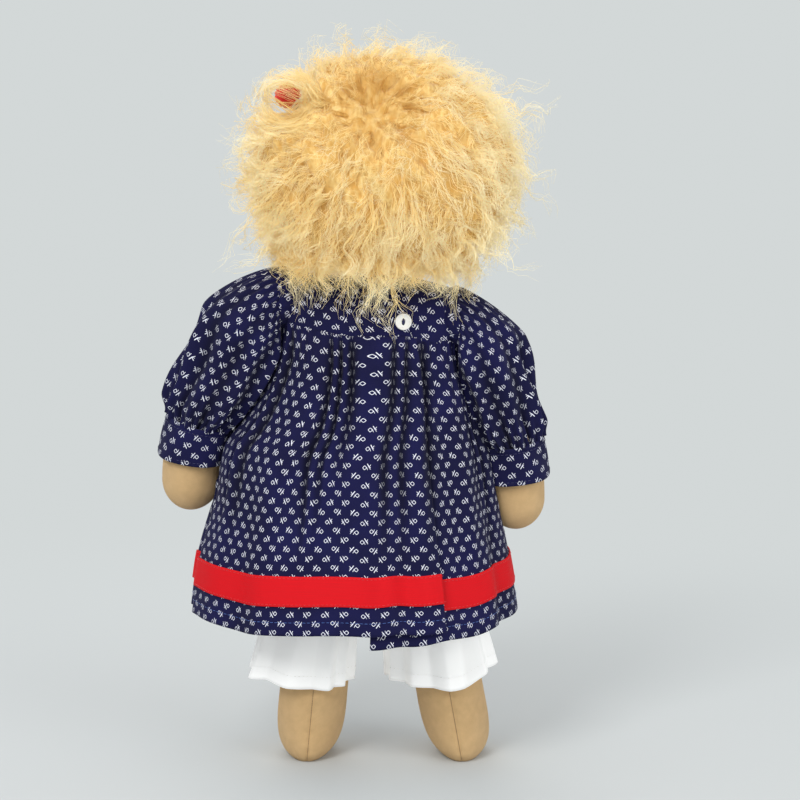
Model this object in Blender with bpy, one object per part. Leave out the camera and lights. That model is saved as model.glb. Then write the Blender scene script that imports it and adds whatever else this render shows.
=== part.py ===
"""Cloth rag doll with a mohair wig, a printed dress, pantaloons and limbs that swing.

Lengths are in metres, +Z is up and the doll faces -Y, so its own left is +X. Sizes that can be
set by themselves are named once below. Tables whose names end in shares hold fractions of the
named sizes. Every cloth piece is a closed shell between an inner and an outer surface.
"""

import math

import bmesh
import bpy
from mathutils import Vector

# Gaps and cloth
GAP = 0.0003
CLOTH = 0.001
CLOTH_EASE = 0.0005

# Torso
TORSO_BOTTOM = 0.152
TORSO_HEIGHT = 0.120
TORSO_HALF_WIDTH = 0.0465
TORSO_HALF_DEPTH = 0.0265
SIDE_SEAT = 0.0487
TORSO_SQUARENESS = 2.6
SHOULDER_SLOPE = 0.17
SHOULDER_FLAT = 0.016
HEAD_OFFSET = -0.004
TORSO_SHARES = (
    (0.0, 0.86, 0.035),
    (0.07, 0.93, 0.26),
    (0.16, 0.975, 0.61),
    (0.26, 1.0, 0.87),
    (0.38, 0.99, 0.985),
    (0.52, 0.98, 1.0),
    (0.66, 0.985, 0.98),
    (0.767, 1.015, 0.955),
    (0.83, 1.07, 0.92),
    (0.89, 1.09, 0.87),
    (0.95, 1.07, 0.76),
    (0.985, 0.88, 0.66),
    (1.0, 0.37, 0.57),
)
BODY_ROW_SHARES = (0.0, 0.07, 0.16, 0.26, 0.38, 0.52, 0.66)
YOKE_ROW_SHARES = (0.767, 0.83, 0.89, 0.94, 0.97, 0.988, 1.0)

# Neck and head
NECK_HEIGHT = 0.0125
NECK_RADIUS = 0.0135
NECK_SHARES = ((0.0, 1.0), (0.3, 0.93), (0.55, 0.78), (0.8, 0.95), (1.0, 1.08))
TIE_HEIGHT_SHARE = 0.55
TIE_THICKNESS = 0.0012
HEAD_HALF_WIDTH = 0.0465
HEAD_HALF_DEPTH = 0.0455
HEAD_HALF_HEIGHT = 0.0475
HEAD_BACK_SHIFT = -0.002
HEAD_SINK = 0.0012

# Face
EYE_WIDTH = 0.0042
EYE_HEIGHT = 0.0062
EYE_SPACING = 0.033
EYE_DROP = 0.003
MOUTH_WIDTH = 0.012
MOUTH_HEIGHT = 0.0018
MOUTH_DROP = 0.019
STITCH_THICKNESS = 0.0008

# Wig
CAP_OPENING_DEG = 70
HAIR_OPENING_DEG = 73
FACE_TILT_DEG = 42
HAIR_HALF_WIDTH = 0.077
HAIR_HALF_DEPTH = 0.065
HAIR_HALF_HEIGHT = 0.0665
HAIR_SIDE_SHIFT = -0.004
HAIR_BACK_SHIFT = 0.005
HAIR_LIFT = 0.0035
HAIR_EDGE = 0.0045
HAIR_FLOOR = 0.0035
CROWN_START = 0.06
HAIR_TUFT = 0.0035
NAPE_THICKNESS = 0.026
NAPE_HALF_TURN_DEG = 80
NAPE_LENGTH = 0.027
NAPE_RISE = 0.0215
NAPE_RADIUS = 0.0335
NAPE_FLARE = 0.012
BOBBLE_RADIUS = 0.0073
BOBBLE_X = 0.046
BOBBLE_Y = -0.027
BOBBLE_RISE = 0.0426
ELASTIC_RADIUS = 0.0035
ELASTIC_THICKNESS = 0.0014

# Arms
ARM_RADIUS = 0.0168
ARM_FORWARD = 0.014
SHOULDER_X = 0.058
SHOULDER_HEIGHT = 0.2575
LEFT_REACH = 0.043
RIGHT_REACH = 0.024
ARM_DROP = 0.1225
ARM_BEND_SHARES = (1.08, 0.45)
ARM_SHARES = ((0.0, 0.77), (0.3, 0.83), (0.6, 0.92), (0.8, 1.0), (1.0, 0.97))
HAND_START_SHARE = 0.87

# Sleeves and cuffs
LEFT_PUFF = 0.0125
RIGHT_PUFF = 0.012
SLEEVE_PUFF_SHARES = ((0.0, 1.35), (0.2, 1.2), (0.45, 0.92), (0.75, 0.85), (0.9, 0.6), (1.0, 0.3))
SLEEVE_ROW_SHARES = (0.0, 0.06, 0.14, 0.25, 0.4, 0.6, 0.8, 0.93, 1.0)
SLEEVE_DROOP = 0.0044
SLEEVE_PLEATS = 10
SLEEVE_PLEAT_DEPTH = 0.0016
ARMHOLE_HALF_HEIGHT = 0.0186
ARMHOLE_HALF_DEPTH = 0.0225
ARMHOLE_RISE = 0.0013
CUFF_START_SHARE = 0.605
CUFF_END_SHARE = 0.76
CUFF_EASE = 0.0017
CUFF_FLARE = 0.0006

# Legs
HIP_SPACING = 0.047
HIP_DROP = 0.0009
LEG_EDGE = 0.0004
LEG_RADIUS = 0.0197
LEFT_SPLAY = 0.0145
RIGHT_SPLAY = 0.0265
FOOT_FORWARD = 0.0095
LEG_SHARES = (
    (0.0, 0.8, 0.0, 0.0),
    (0.04, 0.83, 0.125, 0.0),
    (0.09, 0.9, 0.37, 0.0),
    (0.15, 0.96, 0.68, 0.0),
    (0.22, 1.0, 0.92, 0.0),
    (0.3, 1.0, 1.0, 0.0),
    (0.52, 0.97, 1.0, 0.0),
    (0.74, 0.98, 1.0, 0.03),
    (0.82, 0.985, 1.06, 0.25),
    (0.88, 0.96, 1.22, 0.62),
    (0.93, 0.89, 1.38, 0.9),
    (0.965, 0.77, 1.4, 1.0),
    (0.988, 0.62, 1.3, 1.0),
    (1.0, 0.5, 1.16, 0.98),
)

# Dress
YOKE_EASE = 0.0013
SKIRT_HEM = 0.0865
SKIRT_SIDE_SHARES = (
    (0.0, 0.466, 0.569, 0.345),
    (0.1, 0.468, 0.571, 0.38),
    (0.17, 0.515, 0.62, 0.41),
    (0.24, 0.575, 0.67, 0.46),
    (0.33, 0.67, 0.73, 0.53),
    (0.42, 0.79, 0.79, 0.61),
    (0.6, 0.865, 0.86, 0.75),
    (0.8, 0.955, 0.935, 0.89),
    (1.0, 1.0, 1.0, 1.0),
)
SKIRT_LEFT = 0.102
SKIRT_RIGHT = 0.0835
SKIRT_HALF_DEPTH = 0.075
SKIRT_FOLDS = 17
FOLD_DEPTH = 0.0075
FOLD_START = 0.0008
PANEL_DROOP = 0.008
OVER_EDGE = -0.0235
OVER_EDGE_HEM = -0.0375
UNDER_EDGE = -0.006
UNDER_EDGE_HEM = 0.0
NECK_EDGE_OVER = -0.0135
NECK_EDGE_UNDER = -0.005
OVERLAP_LIFT = 0.0016
PANEL_LIFT = 0.0026
RIBBON_WIDTH = 0.016
RIBBON_HEIGHT = 0.0155
RIBBON_THICKNESS = 0.0006
ARM_CLEARANCE = 0.002
PRESS_START_SHARE = 0.3
BAND_HEIGHT = 0.0035
BAND_THICKNESS = 0.0014
BUTTON_RADIUS = 0.0046
BUTTON_THICKNESS = 0.0017
BUTTON_X = -0.0185
BUTTON_SHARE = 0.842
BUTTON_SLOT_HALF_WIDTH = 0.001
BUTTON_SLOT_HALF_HEIGHT = 0.0019
BUTTON_RIM = 0.0007

# Pantaloons
WAIST_HEIGHT = 0.205
SEAT_BOTTOM = 0.1463
SEAT_HALF_WIDTH = 0.0478
SEAT_HALF_DEPTH = 0.0255
ELASTIC_WIDTH = 0.004
ELASTIC_DEPTH = 0.0015
PANT_HEM = 0.046
PANT_TOP_HALF = 0.0222
PANT_HEM_HALF_WIDTH = 0.0305
PANT_HEM_HALF_DEPTH = 0.0285
PANT_PLEATS = 9
PANT_PLEAT_DEPTH = 0.0048

# Faces round each form
RING_SIDES = 28
HAIR_SIDES = 30
SEAT_SIDES = 32
TORSO_SIDES = 36
LIMB_SIDES = 20
FOLD_FACES = 5

COLOURS = {
    "jersey": ((0.60, 0.40, 0.18), 0.95),
    "cotton_print": ((0.013, 0.012, 0.10), 0.9),
    "white_cotton": ((0.85, 0.86, 0.9), 0.9),
    "ribbon": ((0.75, 0.012, 0.018), 0.75),
    "mohair": ((0.83, 0.52, 0.13), 0.85),
    "cap_knit": ((0.72, 0.42, 0.1), 0.95),
    "red_yarn": ((0.8, 0.03, 0.02), 0.95),
    "white_thread": ((0.85, 0.85, 0.82), 0.8),
    "pearl": ((0.86, 0.85, 0.82), 0.25),
    "eye_thread": ((0.05, 0.12, 0.28), 0.6),
    "mouth_thread": ((0.6, 0.09, 0.08), 0.6),
    "elastic": ((0.82, 0.82, 0.8), 0.8),
}


def clear_scene():
    """Removes every object that the scene starts with."""
    for item in list(bpy.data.objects):
        bpy.data.objects.remove(item)


def make_material(name):
    """Makes the named cloth, yarn or button material."""
    colour, roughness = COLOURS[name]
    material = bpy.data.materials.new(name)
    material.use_nodes = True
    shader = material.node_tree.nodes["Principled BSDF"]
    shader.inputs["Base Color"].default_value = (*colour, 1.0)
    shader.inputs["Roughness"].default_value = roughness
    shader.inputs["Metallic"].default_value = 0.0
    return material


def make_body(name, pivot, parent=None):
    """Adds the empty that carries one body's pieces, at its joint."""
    empty = bpy.data.objects.new(name, None)
    bpy.context.collection.objects.link(empty)
    empty["pivot"] = tuple(pivot)
    empty.parent = parent
    base = Vector(parent["pivot"]) if parent else Vector((0.0, 0.0, 0.0))
    empty.location = Vector(pivot) - base
    return empty


def add_piece(name, points, faces, material, body):
    """Adds one closed piece, with its origin on the joint of the body that carries it."""
    pivot = Vector(body["pivot"])
    mesh = bpy.data.meshes.new(name)
    mesh.from_pydata([Vector(p) - pivot for p in points], [], faces)
    shape = bmesh.new()
    shape.from_mesh(mesh)
    bmesh.ops.recalc_face_normals(shape, faces=shape.faces)
    shape.to_mesh(mesh)
    shape.free()
    mesh.shade_smooth()
    mesh.set_sharp_from_angle(angle=math.radians(50))
    piece = bpy.data.objects.new(name, mesh)
    bpy.context.collection.objects.link(piece)
    piece.data.materials.append(make_material(material))
    piece.parent = body
    return piece


def cut_by(piece, cutter):
    """Cuts a hidden cutter out of a piece."""
    cutter.hide_render = True
    cutter.display_type = "WIRE"
    cut = piece.modifiers.new("cut", "BOOLEAN")
    cut.operation = "DIFFERENCE"
    cut.solver = "EXACT"
    cut.object = cutter


def loft(rings):
    """Skins a stack of rings and closes both ends with flat faces."""
    sides = len(rings[0])
    points = [p for ring in rings for p in ring]
    faces = []
    for row in range(len(rings) - 1):
        for side in range(sides):
            a = row * sides + side
            b = row * sides + (side + 1) % sides
            faces.append((a, b, b + sides, a + sides))
    faces.append(tuple(range(sides)))
    faces.append(tuple(range(len(points) - sides, len(points))))
    return points, faces


def shell(inner, outer, wrap):
    """Joins an inner and an outer grid of points into one closed shell."""
    rows, columns = len(inner), len(inner[0])
    count = rows * columns
    points = [p for row in outer for p in row] + [p for row in inner for p in row]
    span = columns if wrap else columns - 1
    faces = []
    for row in range(rows - 1):
        for column in range(span):
            a = row * columns + column
            b = row * columns + (column + 1) % columns
            faces.append((a, b, b + columns, a + columns))
            faces.append((count + a, count + a + columns, count + b + columns, count + b))
    for row in (0, rows - 1):
        for column in range(span):
            a = row * columns + column
            b = row * columns + (column + 1) % columns
            faces.append((a, b, count + b, count + a))
    if not wrap:
        for column in (0, columns - 1):
            for row in range(rows - 1):
                a = row * columns + column
                faces.append((a, a + columns, count + a + columns, count + a))
    return points, faces


def cloth(surface, columns, rows, inner, outer, wrap=False):
    """Makes a shell of cloth. surface(across, down, offset) gives its points."""
    grids = []
    steps = columns if wrap else columns - 1
    for offset in (inner, outer):
        grids.append(
            [
                [surface(column / steps, row / (rows - 1), offset) for column in range(columns)]
                for row in range(rows)
            ]
        )
    return shell(grids[0], grids[1], wrap)


def bowl(surface, columns, rows, inner, outer):
    """Makes a closed bowl between two surfaces, from its crown to its rim."""
    rings = []
    for offset, order in ((outer, range(rows)), (inner, reversed(range(rows)))):
        for row in order:
            down = row / (rows - 1)
            rings.append([surface(k / columns, down, offset) for k in range(columns)])
    return loft(rings)


def ease(value):
    """Rises smoothly from 0 to 1."""
    value = min(max(value, 0.0), 1.0)
    return value * value * (3 - 2 * value)


def mix(a, b, share):
    """Goes from a to b."""
    return a + (b - a) * share


def from_table(table, place):
    """Reads a table of shares at a place, along a smooth curve through its rows."""
    place = min(max(place, table[0][0]), table[-1][0])
    last = len(table) - 2
    row = next((k for k in range(last + 1) if place <= table[k + 1][0]), last)
    before, start, end, after = (table[min(max(row + k, 0), last + 1)] for k in (-1, 0, 1, 2))
    length = end[0] - start[0]
    t = (place - start[0]) / length
    values = []
    for k in range(1, len(start)):
        slope_in = (end[k] - before[k]) / (end[0] - before[0])
        slope_out = (after[k] - start[k]) / (after[0] - start[0])
        rise = (2 * t**3 - 3 * t**2 + 1) * start[k] + (3 * t**2 - 2 * t**3) * end[k]
        bend = (t**3 - 2 * t**2 + t) * slope_in + (t**3 - t**2) * slope_out
        values.append(rise + bend * length)
    return values


def signed_power(value, power):
    """Raises a value to a power and keeps its sign."""
    return math.copysign(abs(value) ** power, value)


def lean(x):
    """How far the shoulder line rises towards the doll's left."""
    out = abs(x - HEAD_OFFSET) - SHOULDER_FLAT
    return math.copysign(max(out, 0.0), x - HEAD_OFFSET) * SHOULDER_SLOPE


def torso_section(share, offset):
    """Gives the torso's centre, half width, half depth and height at a share of its height."""
    width_share, depth_share = from_table(TORSO_SHARES, share)
    top = ease((share - 0.86) / 0.14)
    sideways = offset * (1 - 0.6 * top)
    half_width = TORSO_HALF_WIDTH * width_share + sideways
    half_depth = TORSO_HALF_DEPTH * depth_share + sideways
    height = TORSO_BOTTOM + TORSO_HEIGHT * share + offset * top
    return HEAD_OFFSET * top, half_width, half_depth, height


def torso_point(angle, share, offset=0.0, limit=SIDE_SEAT):
    """A point on the torso, or off it by an offset. Its sides are flat where the arms seat."""
    centre, half_width, half_depth, height = torso_section(share, offset)
    power = 2 / TORSO_SQUARENESS
    x = centre + half_width * signed_power(math.cos(angle), power)
    y = half_depth * signed_power(math.sin(angle), power)
    x = min(max(x, -limit), limit)
    raised = ease((share - 0.35) / 0.4)
    return Vector((x, y, height + lean(x) * raised))


def angle_at(x, share, offset):
    """The angle round the torso's back at which it reaches x."""
    centre, half_width, half_depth, _ = torso_section(share, offset)
    reach = min(max((x - centre) / half_width, -1.0), 1.0)
    angle = math.acos(signed_power(reach, TORSO_SQUARENESS / 2))
    edge = math.asin(min((GAP / half_depth) ** (TORSO_SQUARENESS / 2), 1.0))
    return min(max(angle, edge), math.pi - edge)


def make_torso(body):
    """The stuffed torso, with a flat seam at the hips."""
    turns = [2 * math.pi * side / TORSO_SIDES for side in range(TORSO_SIDES)]
    shares = BODY_ROW_SHARES + YOKE_ROW_SHARES
    rings = [[torso_point(turn, share) for turn in turns] for share in shares]
    add_piece("torso", *loft(rings), "jersey", body)


def neck_base():
    """Height of the torso's top, where the neck stands."""
    return TORSO_BOTTOM + TORSO_HEIGHT + GAP


def head_base():
    """Height of the top of the neck."""
    return neck_base() + NECK_HEIGHT


def head_centre():
    """Centre of the head."""
    rise = GAP + HEAD_HALF_HEIGHT - HEAD_SINK
    return Vector((HEAD_OFFSET, HEAD_BACK_SHIFT, head_base() + rise))


def flat_ring(centre, radius_x, radius_y, height, sides):
    """A level ring of points."""
    turns = [2 * math.pi * side / sides for side in range(sides)]
    return [
        Vector((centre + radius_x * math.cos(a), radius_y * math.sin(a), height)) for a in turns
    ]


def make_neck(body):
    """The soft neck and the thread that ties it in."""
    shares = (0.0, 0.2, 0.4, 0.55, 0.7, 0.85, 1.0)
    rings = []
    for share in shares:
        radius = NECK_RADIUS * from_table(NECK_SHARES, share)[0]
        height = neck_base() + NECK_HEIGHT * share
        rings.append(flat_ring(HEAD_OFFSET, radius, radius, height, LIMB_SIDES))
    add_piece("neck", *loft(rings), "jersey", body)
    inner = NECK_RADIUS * from_table(NECK_SHARES, TIE_HEIGHT_SHARE)[0] + GAP + CLOTH / 2
    middle = neck_base() + NECK_HEIGHT * TIE_HEIGHT_SHARE

    def tie(across, down, offset):
        turn = 2 * math.pi * across
        reach = inner + offset
        height = middle + (down - 0.5) * TIE_THICKNESS
        return Vector((HEAD_OFFSET + reach * math.cos(turn), reach * math.sin(turn), height))

    grids = cloth(tie, LIMB_SIDES, 2, 0.0, TIE_THICKNESS, True)
    add_piece("neck_tie", *grids, "white_thread", body)


def head_point(direction, offset=0.0):
    """A point on the head, or off it by an offset, in a direction from its centre."""
    sizes = (HEAD_HALF_WIDTH + offset, HEAD_HALF_DEPTH + offset, HEAD_HALF_HEIGHT + offset)
    spread = math.sqrt(sum((d / s) ** 2 for d, s in zip(direction, sizes)))
    return head_centre() + direction / spread


def make_head(body):
    """The firm round head, flat where it seats on the neck."""
    floor = head_base() + GAP
    steps = 14
    rings = []
    for step in range(steps):
        polar = math.pi * mix(0.035, 0.945, step / (steps - 1))
        ring = []
        for side in range(RING_SIDES):
            turn = 2 * math.pi * side / RING_SIDES
            across = math.sin(polar)
            direction = Vector((across * math.cos(turn), across * math.sin(turn), math.cos(polar)))
            point = head_point(direction)
            ring.append(Vector((point.x, point.y, max(point.z, floor))))
        rings.append(ring)
    add_piece("head", *loft(rings), "jersey", body)


def face_patch(name, across_at, drop, width, height, material, body):
    """A small oval of stitches that lies on the face."""
    centre = head_centre()

    def surface(turn_share, down, offset):
        turn = 2 * math.pi * turn_share
        reach = mix(0.12, 1.0, down) / 2
        x = across_at + width * reach * math.cos(turn)
        z = -drop + height * reach * math.sin(turn)
        flat = 1 - (x / HEAD_HALF_WIDTH) ** 2 - (z / HEAD_HALF_HEIGHT) ** 2
        y = -HEAD_HALF_DEPTH * math.sqrt(flat)
        return centre + Vector((x, y - offset, z))

    lift = GAP
    inner = [[surface(k / 10, down, lift) for k in range(10)] for down in (0.0, 1.0)]
    outer = [
        [surface(k / 10, down, lift + STITCH_THICKNESS * (1.3 - down * 0.8)) for k in range(10)]
        for down in (0.0, 1.0)
    ]
    rings = [inner[0], inner[1], outer[1], outer[0]]
    add_piece(name, *loft(rings), material, body)


def make_face(body):
    """Two eyes and a mouth in plain satin stitch."""
    for name, side in (("eye_left", 1), ("eye_right", -1)):
        place = side * EYE_SPACING / 2
        face_patch(name, place, EYE_DROP, EYE_WIDTH, EYE_HEIGHT, "eye_thread", body)
    face_patch("mouth", 0.0, MOUTH_DROP, MOUTH_WIDTH, MOUTH_HEIGHT, "mouth_thread", body)


def wig_direction(turn, polar):
    """A direction from the head's centre, by its angle from the axis behind the crown."""
    tilt = math.radians(FACE_TILT_DEG)
    pole = Vector((0.0, math.cos(tilt), math.sin(tilt)))
    up = Vector((0.0, -math.sin(tilt), math.cos(tilt)))
    side = Vector((1.0, 0.0, 0.0))
    around = side * math.cos(turn) + up * math.sin(turn)
    return pole * math.cos(polar) + around * math.sin(polar)


def hair_reach(direction):
    """How far the curls' outline lies from the head's centre in a direction."""
    middle = Vector((HAIR_SIDE_SHIFT, HAIR_BACK_SHIFT, HAIR_LIFT))
    sizes = (HAIR_HALF_WIDTH, HAIR_HALF_DEPTH, HAIR_HALF_HEIGHT)
    a = sum((d / s) ** 2 for d, s in zip(direction, sizes))
    b = sum(d * m / s**2 for d, m, s in zip(direction, middle, sizes))
    c = sum((m / s) ** 2 for m, s in zip(middle, sizes)) - 1
    return (b + math.sqrt(b * b - a * c)) / a


def make_wig(body):
    """The knitted cap and the mass of curls sewn to it."""

    def cap(across, down, offset):
        polar = math.pi - math.radians(CAP_OPENING_DEG)
        return head_point(wig_direction(2 * math.pi * across, mix(CROWN_START, polar, down)), offset)

    lift = GAP + CLOTH_EASE
    grids = bowl(cap, RING_SIDES, 8, lift, lift + CLOTH)
    add_piece("wig_cap", *grids, "cap_knit", body)
    inner = lift + CLOTH + GAP + CLOTH_EASE
    widest = math.pi - math.radians(HAIR_OPENING_DEG)

    def curls(across, down, offset):
        turn = 2 * math.pi * across
        polar = mix(CROWN_START, widest, down)
        direction = wig_direction(turn, polar)
        base = head_point(direction, inner)
        if not offset:
            return base
        thin = (base - head_centre()).length + HAIR_EDGE
        tuft = HAIR_TUFT * math.sin(5 * turn + 1) * math.sin(7 * polar) * math.sin(polar)
        full = max(hair_reach(direction) + tuft, thin)
        fall = head_centre().z - head_base() - HAIR_FLOOR
        floor = fall / max(-direction.z, 0.01)
        full = max(min(full, floor), thin)
        return head_centre() + direction * mix(thin, full, ease((1 - down) / 0.14))

    grids = bowl(curls, HAIR_SIDES, 12, 0.0, HAIR_EDGE)
    return add_piece("hair", *grids, "mohair", body)


def make_nape(body):
    """The longer locks that lie on the back of the dress."""
    half_turn = math.radians(NAPE_HALF_TURN_DEG)
    top = head_base() + HAIR_FLOOR - CLOTH

    def locks(across, down, offset):
        turn = math.pi / 2 + half_turn * (1 - 2 * across)
        away = abs(1 - 2 * across)
        length = NAPE_LENGTH - NAPE_RISE * away**2
        inner = NAPE_RADIUS + NAPE_FLARE * ease(down) * (1 - away**2)
        outer = NAPE_THICKNESS * math.sin(math.pi * mix(0.42, 0.93, down)) * (1 - 0.3 * away**2)
        reach = inner + outer * offset
        height = top - length * down
        return Vector((HEAD_OFFSET + reach * math.cos(turn), reach * math.sin(turn), height))

    grids = cloth(locks, 15, 5, 0.0, 1.0)
    add_piece("hair_nape", *grids, "mohair", body)


def ball(centre, radius, turns, bands):
    """A round ball of quads with two small flat poles."""
    rings = []
    for band in range(bands + 1):
        polar = math.pi * mix(0.06, 0.94, band / bands)
        level = centre.z + radius * math.cos(polar)
        across = radius * math.sin(polar)
        ring = flat_ring(centre.x, across, across, level, turns)
        rings.append([p + Vector((0.0, centre.y, 0.0)) for p in ring])
    return loft(rings)


def make_bobble(hair, body):
    """The crocheted ball on its elastic, set into the curls."""
    centre = Vector((BOBBLE_X, BOBBLE_Y, head_centre().z + BOBBLE_RISE))
    inward = (head_centre() - centre).normalized()
    pocket_depth = ELASTIC_THICKNESS + GAP + GAP
    pocket = BOBBLE_RADIUS + CLOTH_EASE + pocket_depth / 2
    cutter = add_piece(
        "bobble_pocket", *ball(centre + inward * pocket_depth / 2, pocket, 16, 8), "mohair", body
    )
    cut_by(hair, cutter)
    add_piece("hair_bobble", *ball(centre, BOBBLE_RADIUS, 16, 8), "red_yarn", body)
    side = inward.cross(Vector((0.0, 1.0, 0.0))).normalized()
    other = inward.cross(side)
    contact = math.sqrt(BOBBLE_RADIUS**2 - ELASTIC_RADIUS**2)
    middle = centre + inward * (contact + GAP)

    def ring(across, down, offset):
        turn = 2 * math.pi * across
        reach = ELASTIC_RADIUS + offset - ELASTIC_THICKNESS / 2
        flat = side * math.cos(turn) + other * math.sin(turn)
        return middle + flat * reach + inward * ELASTIC_THICKNESS * down

    add_piece(
        "bobble_elastic", *cloth(ring, 14, 2, 0.0, ELASTIC_THICKNESS, True), "elastic", body
    )


class Arm:
    """One arm's path from the shoulder to the hand, and what goes round it."""

    def __init__(self, side, reach, puff):
        self.side = side
        self.puff = puff
        seat = side * SIDE_SEAT
        self.shoulder = Vector((side * SHOULDER_X, 0.0, SHOULDER_HEIGHT + lean(seat)))
        out, down = ARM_BEND_SHARES
        self.bend = self.shoulder + Vector((side * reach * out, 0.0, -ARM_DROP * down))
        self.hand = self.shoulder + Vector((side * reach, -ARM_FORWARD, -ARM_DROP))

    def centre(self, share):
        """A point on the arm's centre line."""
        back = 1 - share
        middle = self.bend * (2 * share * back)
        return self.shoulder * back**2 + middle + self.hand * share**2

    def frame(self, share):
        """The directions along the arm, outwards from the body and backwards."""
        share = max(share, 0.0)
        start = (self.bend - self.shoulder) * (1 - share)
        along = (start + (self.hand - self.bend) * share).normalized()
        back = (Vector((0.0, 1.0, 0.0)) - along * along.y).normalized()
        outward = along.cross(back) * self.side
        return along, outward, back

    def radius(self, share):
        """The arm's radius, which closes in a round hand."""
        radius = ARM_RADIUS * from_table(ARM_SHARES, share)[0]
        past = (share - HAND_START_SHARE) / (1 - HAND_START_SHARE)
        return radius * math.sqrt(max(1 - past * past, 0.0)) if past > 0 else radius

    def ring(self, centre, share, radius_out, radius_back, sides, turn_shift=0.0):
        """A ring of points square to the arm."""
        _, outward, back = self.frame(share)
        points = []
        for side in range(sides):
            turn = 2 * math.pi * (side / sides) + turn_shift
            points.append(
                centre + outward * radius_out * math.cos(turn) + back * radius_back * math.sin(turn)
            )
        return points

    def beside(self, point, limit):
        """Keeps a point on the arm's side of a plane beside the body."""
        x = max(point.x * self.side, limit) * self.side
        return Vector((x, point.y, point.z))


def make_arm(name, arm, body):
    """A stuffed arm with a round shoulder, pressed flat where it is sewn to the torso."""
    rings = []
    shoulder_radius = arm.radius(0.0)
    along = arm.frame(0.0)[0]
    for step in range(1, 5):
        polar = math.pi / 2 * step / 5
        centre = arm.shoulder - along * shoulder_radius * math.cos(polar)
        across = shoulder_radius * math.sin(polar)
        rings.append(arm.ring(centre, 0.0, across, across, LIMB_SIDES))
    shares = (0.0, 0.12, 0.27, 0.42, 0.57, 0.72, 0.83, 0.89, 0.93, 0.965, 0.985, 0.997)
    for share in shares:
        radius = arm.radius(share)
        rings.append(arm.ring(arm.centre(share), share, radius, radius, LIMB_SIDES))
    seat = SIDE_SEAT + GAP
    rings = [[arm.beside(p, seat) for p in ring] for ring in rings]
    add_piece(name, *loft(rings), "jersey", body)


def skirt_side(side, height, sag=0.0):
    """How far the skirt reaches beside the body at a height."""
    top = seam_height()
    down = (top + sag - height) / (top - SKIRT_HEM)
    left, right, _ = from_table(SKIRT_SIDE_SHARES, down)
    return SKIRT_LEFT * left if side > 0 else SKIRT_RIGHT * right


def make_sleeve(name, arm, body):
    """A puffed sleeve from the armhole to the cuff, gathered at its lower end."""
    armhole = Vector((arm.side * (SIDE_SEAT + GAP), 0.0, arm.shoulder.z + ARMHOLE_RISE))

    def sleeve(across, row, offset):
        down = SLEEVE_ROW_SHARES[round(row * (len(SLEEVE_ROW_SHARES) - 1))]
        turn = 2 * math.pi * across
        share = CUFF_START_SHARE * down - GAP / ARM_DROP
        _, outward, back = arm.frame(share)
        cuffward = ease((down - 0.85) / 0.15)
        puff = arm.puff * from_table(SLEEVE_PUFF_SHARES, down)[0]
        puff = mix(puff, CUFF_EASE + CLOTH_EASE, cuffward)
        pleat = SLEEVE_PLEAT_DEPTH * (1 + math.cos(SLEEVE_PLEATS * turn)) * ease(down * 2)
        pleat *= 1 - cuffward / 2
        reach = arm.radius(share) + puff + pleat + offset
        centre = arm.centre(share) - outward * SLEEVE_DROOP * math.sin(math.pi * down)
        tube = centre + outward * reach * math.cos(turn) + back * reach * math.sin(turn)
        high = ARMHOLE_HALF_HEIGHT + offset
        deep = ARMHOLE_HALF_DEPTH + offset
        flat = Vector((0.0, deep * math.sin(turn), high * math.cos(turn)))
        point = armhole + flat + (tube - armhole - flat) * ease(down / 0.28)
        if down in (0.0, 1.0):
            return point
        skirt = skirt_side(arm.side, point.z, lean(armhole.x)) + FOLD_START + 2 * CLOTH
        limit = max(SIDE_SEAT + GAP, skirt) + CLOTH
        if share > PRESS_START_SHARE:
            pressed = arm.centre(share).x * arm.side - arm.radius(share) - CLOTH_EASE
            limit = min(limit, pressed)
        return arm.beside(point, limit - offset)

    columns = SLEEVE_PLEATS * 3
    grids = cloth(sleeve, columns, len(SLEEVE_ROW_SHARES), 0.0, CLOTH, True)
    add_piece(name, *grids, "cotton_print", body)


def make_cuff(name, arm, body):
    """The band at the end of a sleeve."""

    def cuff(across, down, offset):
        turn = 2 * math.pi * across
        share = mix(CUFF_START_SHARE, CUFF_END_SHARE, down)
        _, outward, back = arm.frame(share)
        reach = arm.radius(share) + CUFF_EASE + CUFF_FLARE * down + offset
        return arm.centre(share) + outward * reach * math.cos(turn) + back * reach * math.sin(turn)

    grids = cloth(cuff, LIMB_SIDES, 3, 0.0, CLOTH + CLOTH_EASE, True)
    add_piece(name, *grids, "cotton_print", body)


def hip_height():
    """Height of the hinge line at the top of the legs."""
    return TORSO_BOTTOM - HIP_DROP


def leg_centre(side, share):
    """Where the leg's centre line lies beside the body."""
    splay = LEFT_SPLAY if side > 0 else RIGHT_SPLAY
    return HEAD_OFFSET / 2 + side * (HIP_SPACING / 2 + splay * share)


def make_leg(name, side, body):
    """A stuffed leg: flat where it is sewn to the hips, with a foot and a flat sole."""
    top = hip_height()
    rings = []
    for share, width_share, depth_share, toe_share in LEG_SHARES:
        height = top * (1 - share)
        wide = LEG_RADIUS * width_share
        deep = LEG_RADIUS * depth_share + LEG_EDGE * (share < 0.2)
        ring = []
        for k in range(LIMB_SIDES + 2):
            turn = 2 * math.pi * k / (LIMB_SIDES + 2)
            x = leg_centre(side, share) + wide * math.cos(turn)
            y = deep * math.sin(turn) - FOOT_FORWARD * toe_share
            ring.append(Vector((x, y, height)))
        rings.append(ring)
    add_piece(name, *loft(rings), "jersey", body)


def seam_height():
    """Height of the seam between the yokes and the skirt, at the middle."""
    return TORSO_BOTTOM + TORSO_HEIGHT * YOKE_ROW_SHARES[0]


def yoke_row(down):
    """The share of the torso's height at a row of the yoke, from the neck down."""
    rows = YOKE_ROW_SHARES[::-1]
    return rows[round(down * (len(rows) - 1))]


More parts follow.
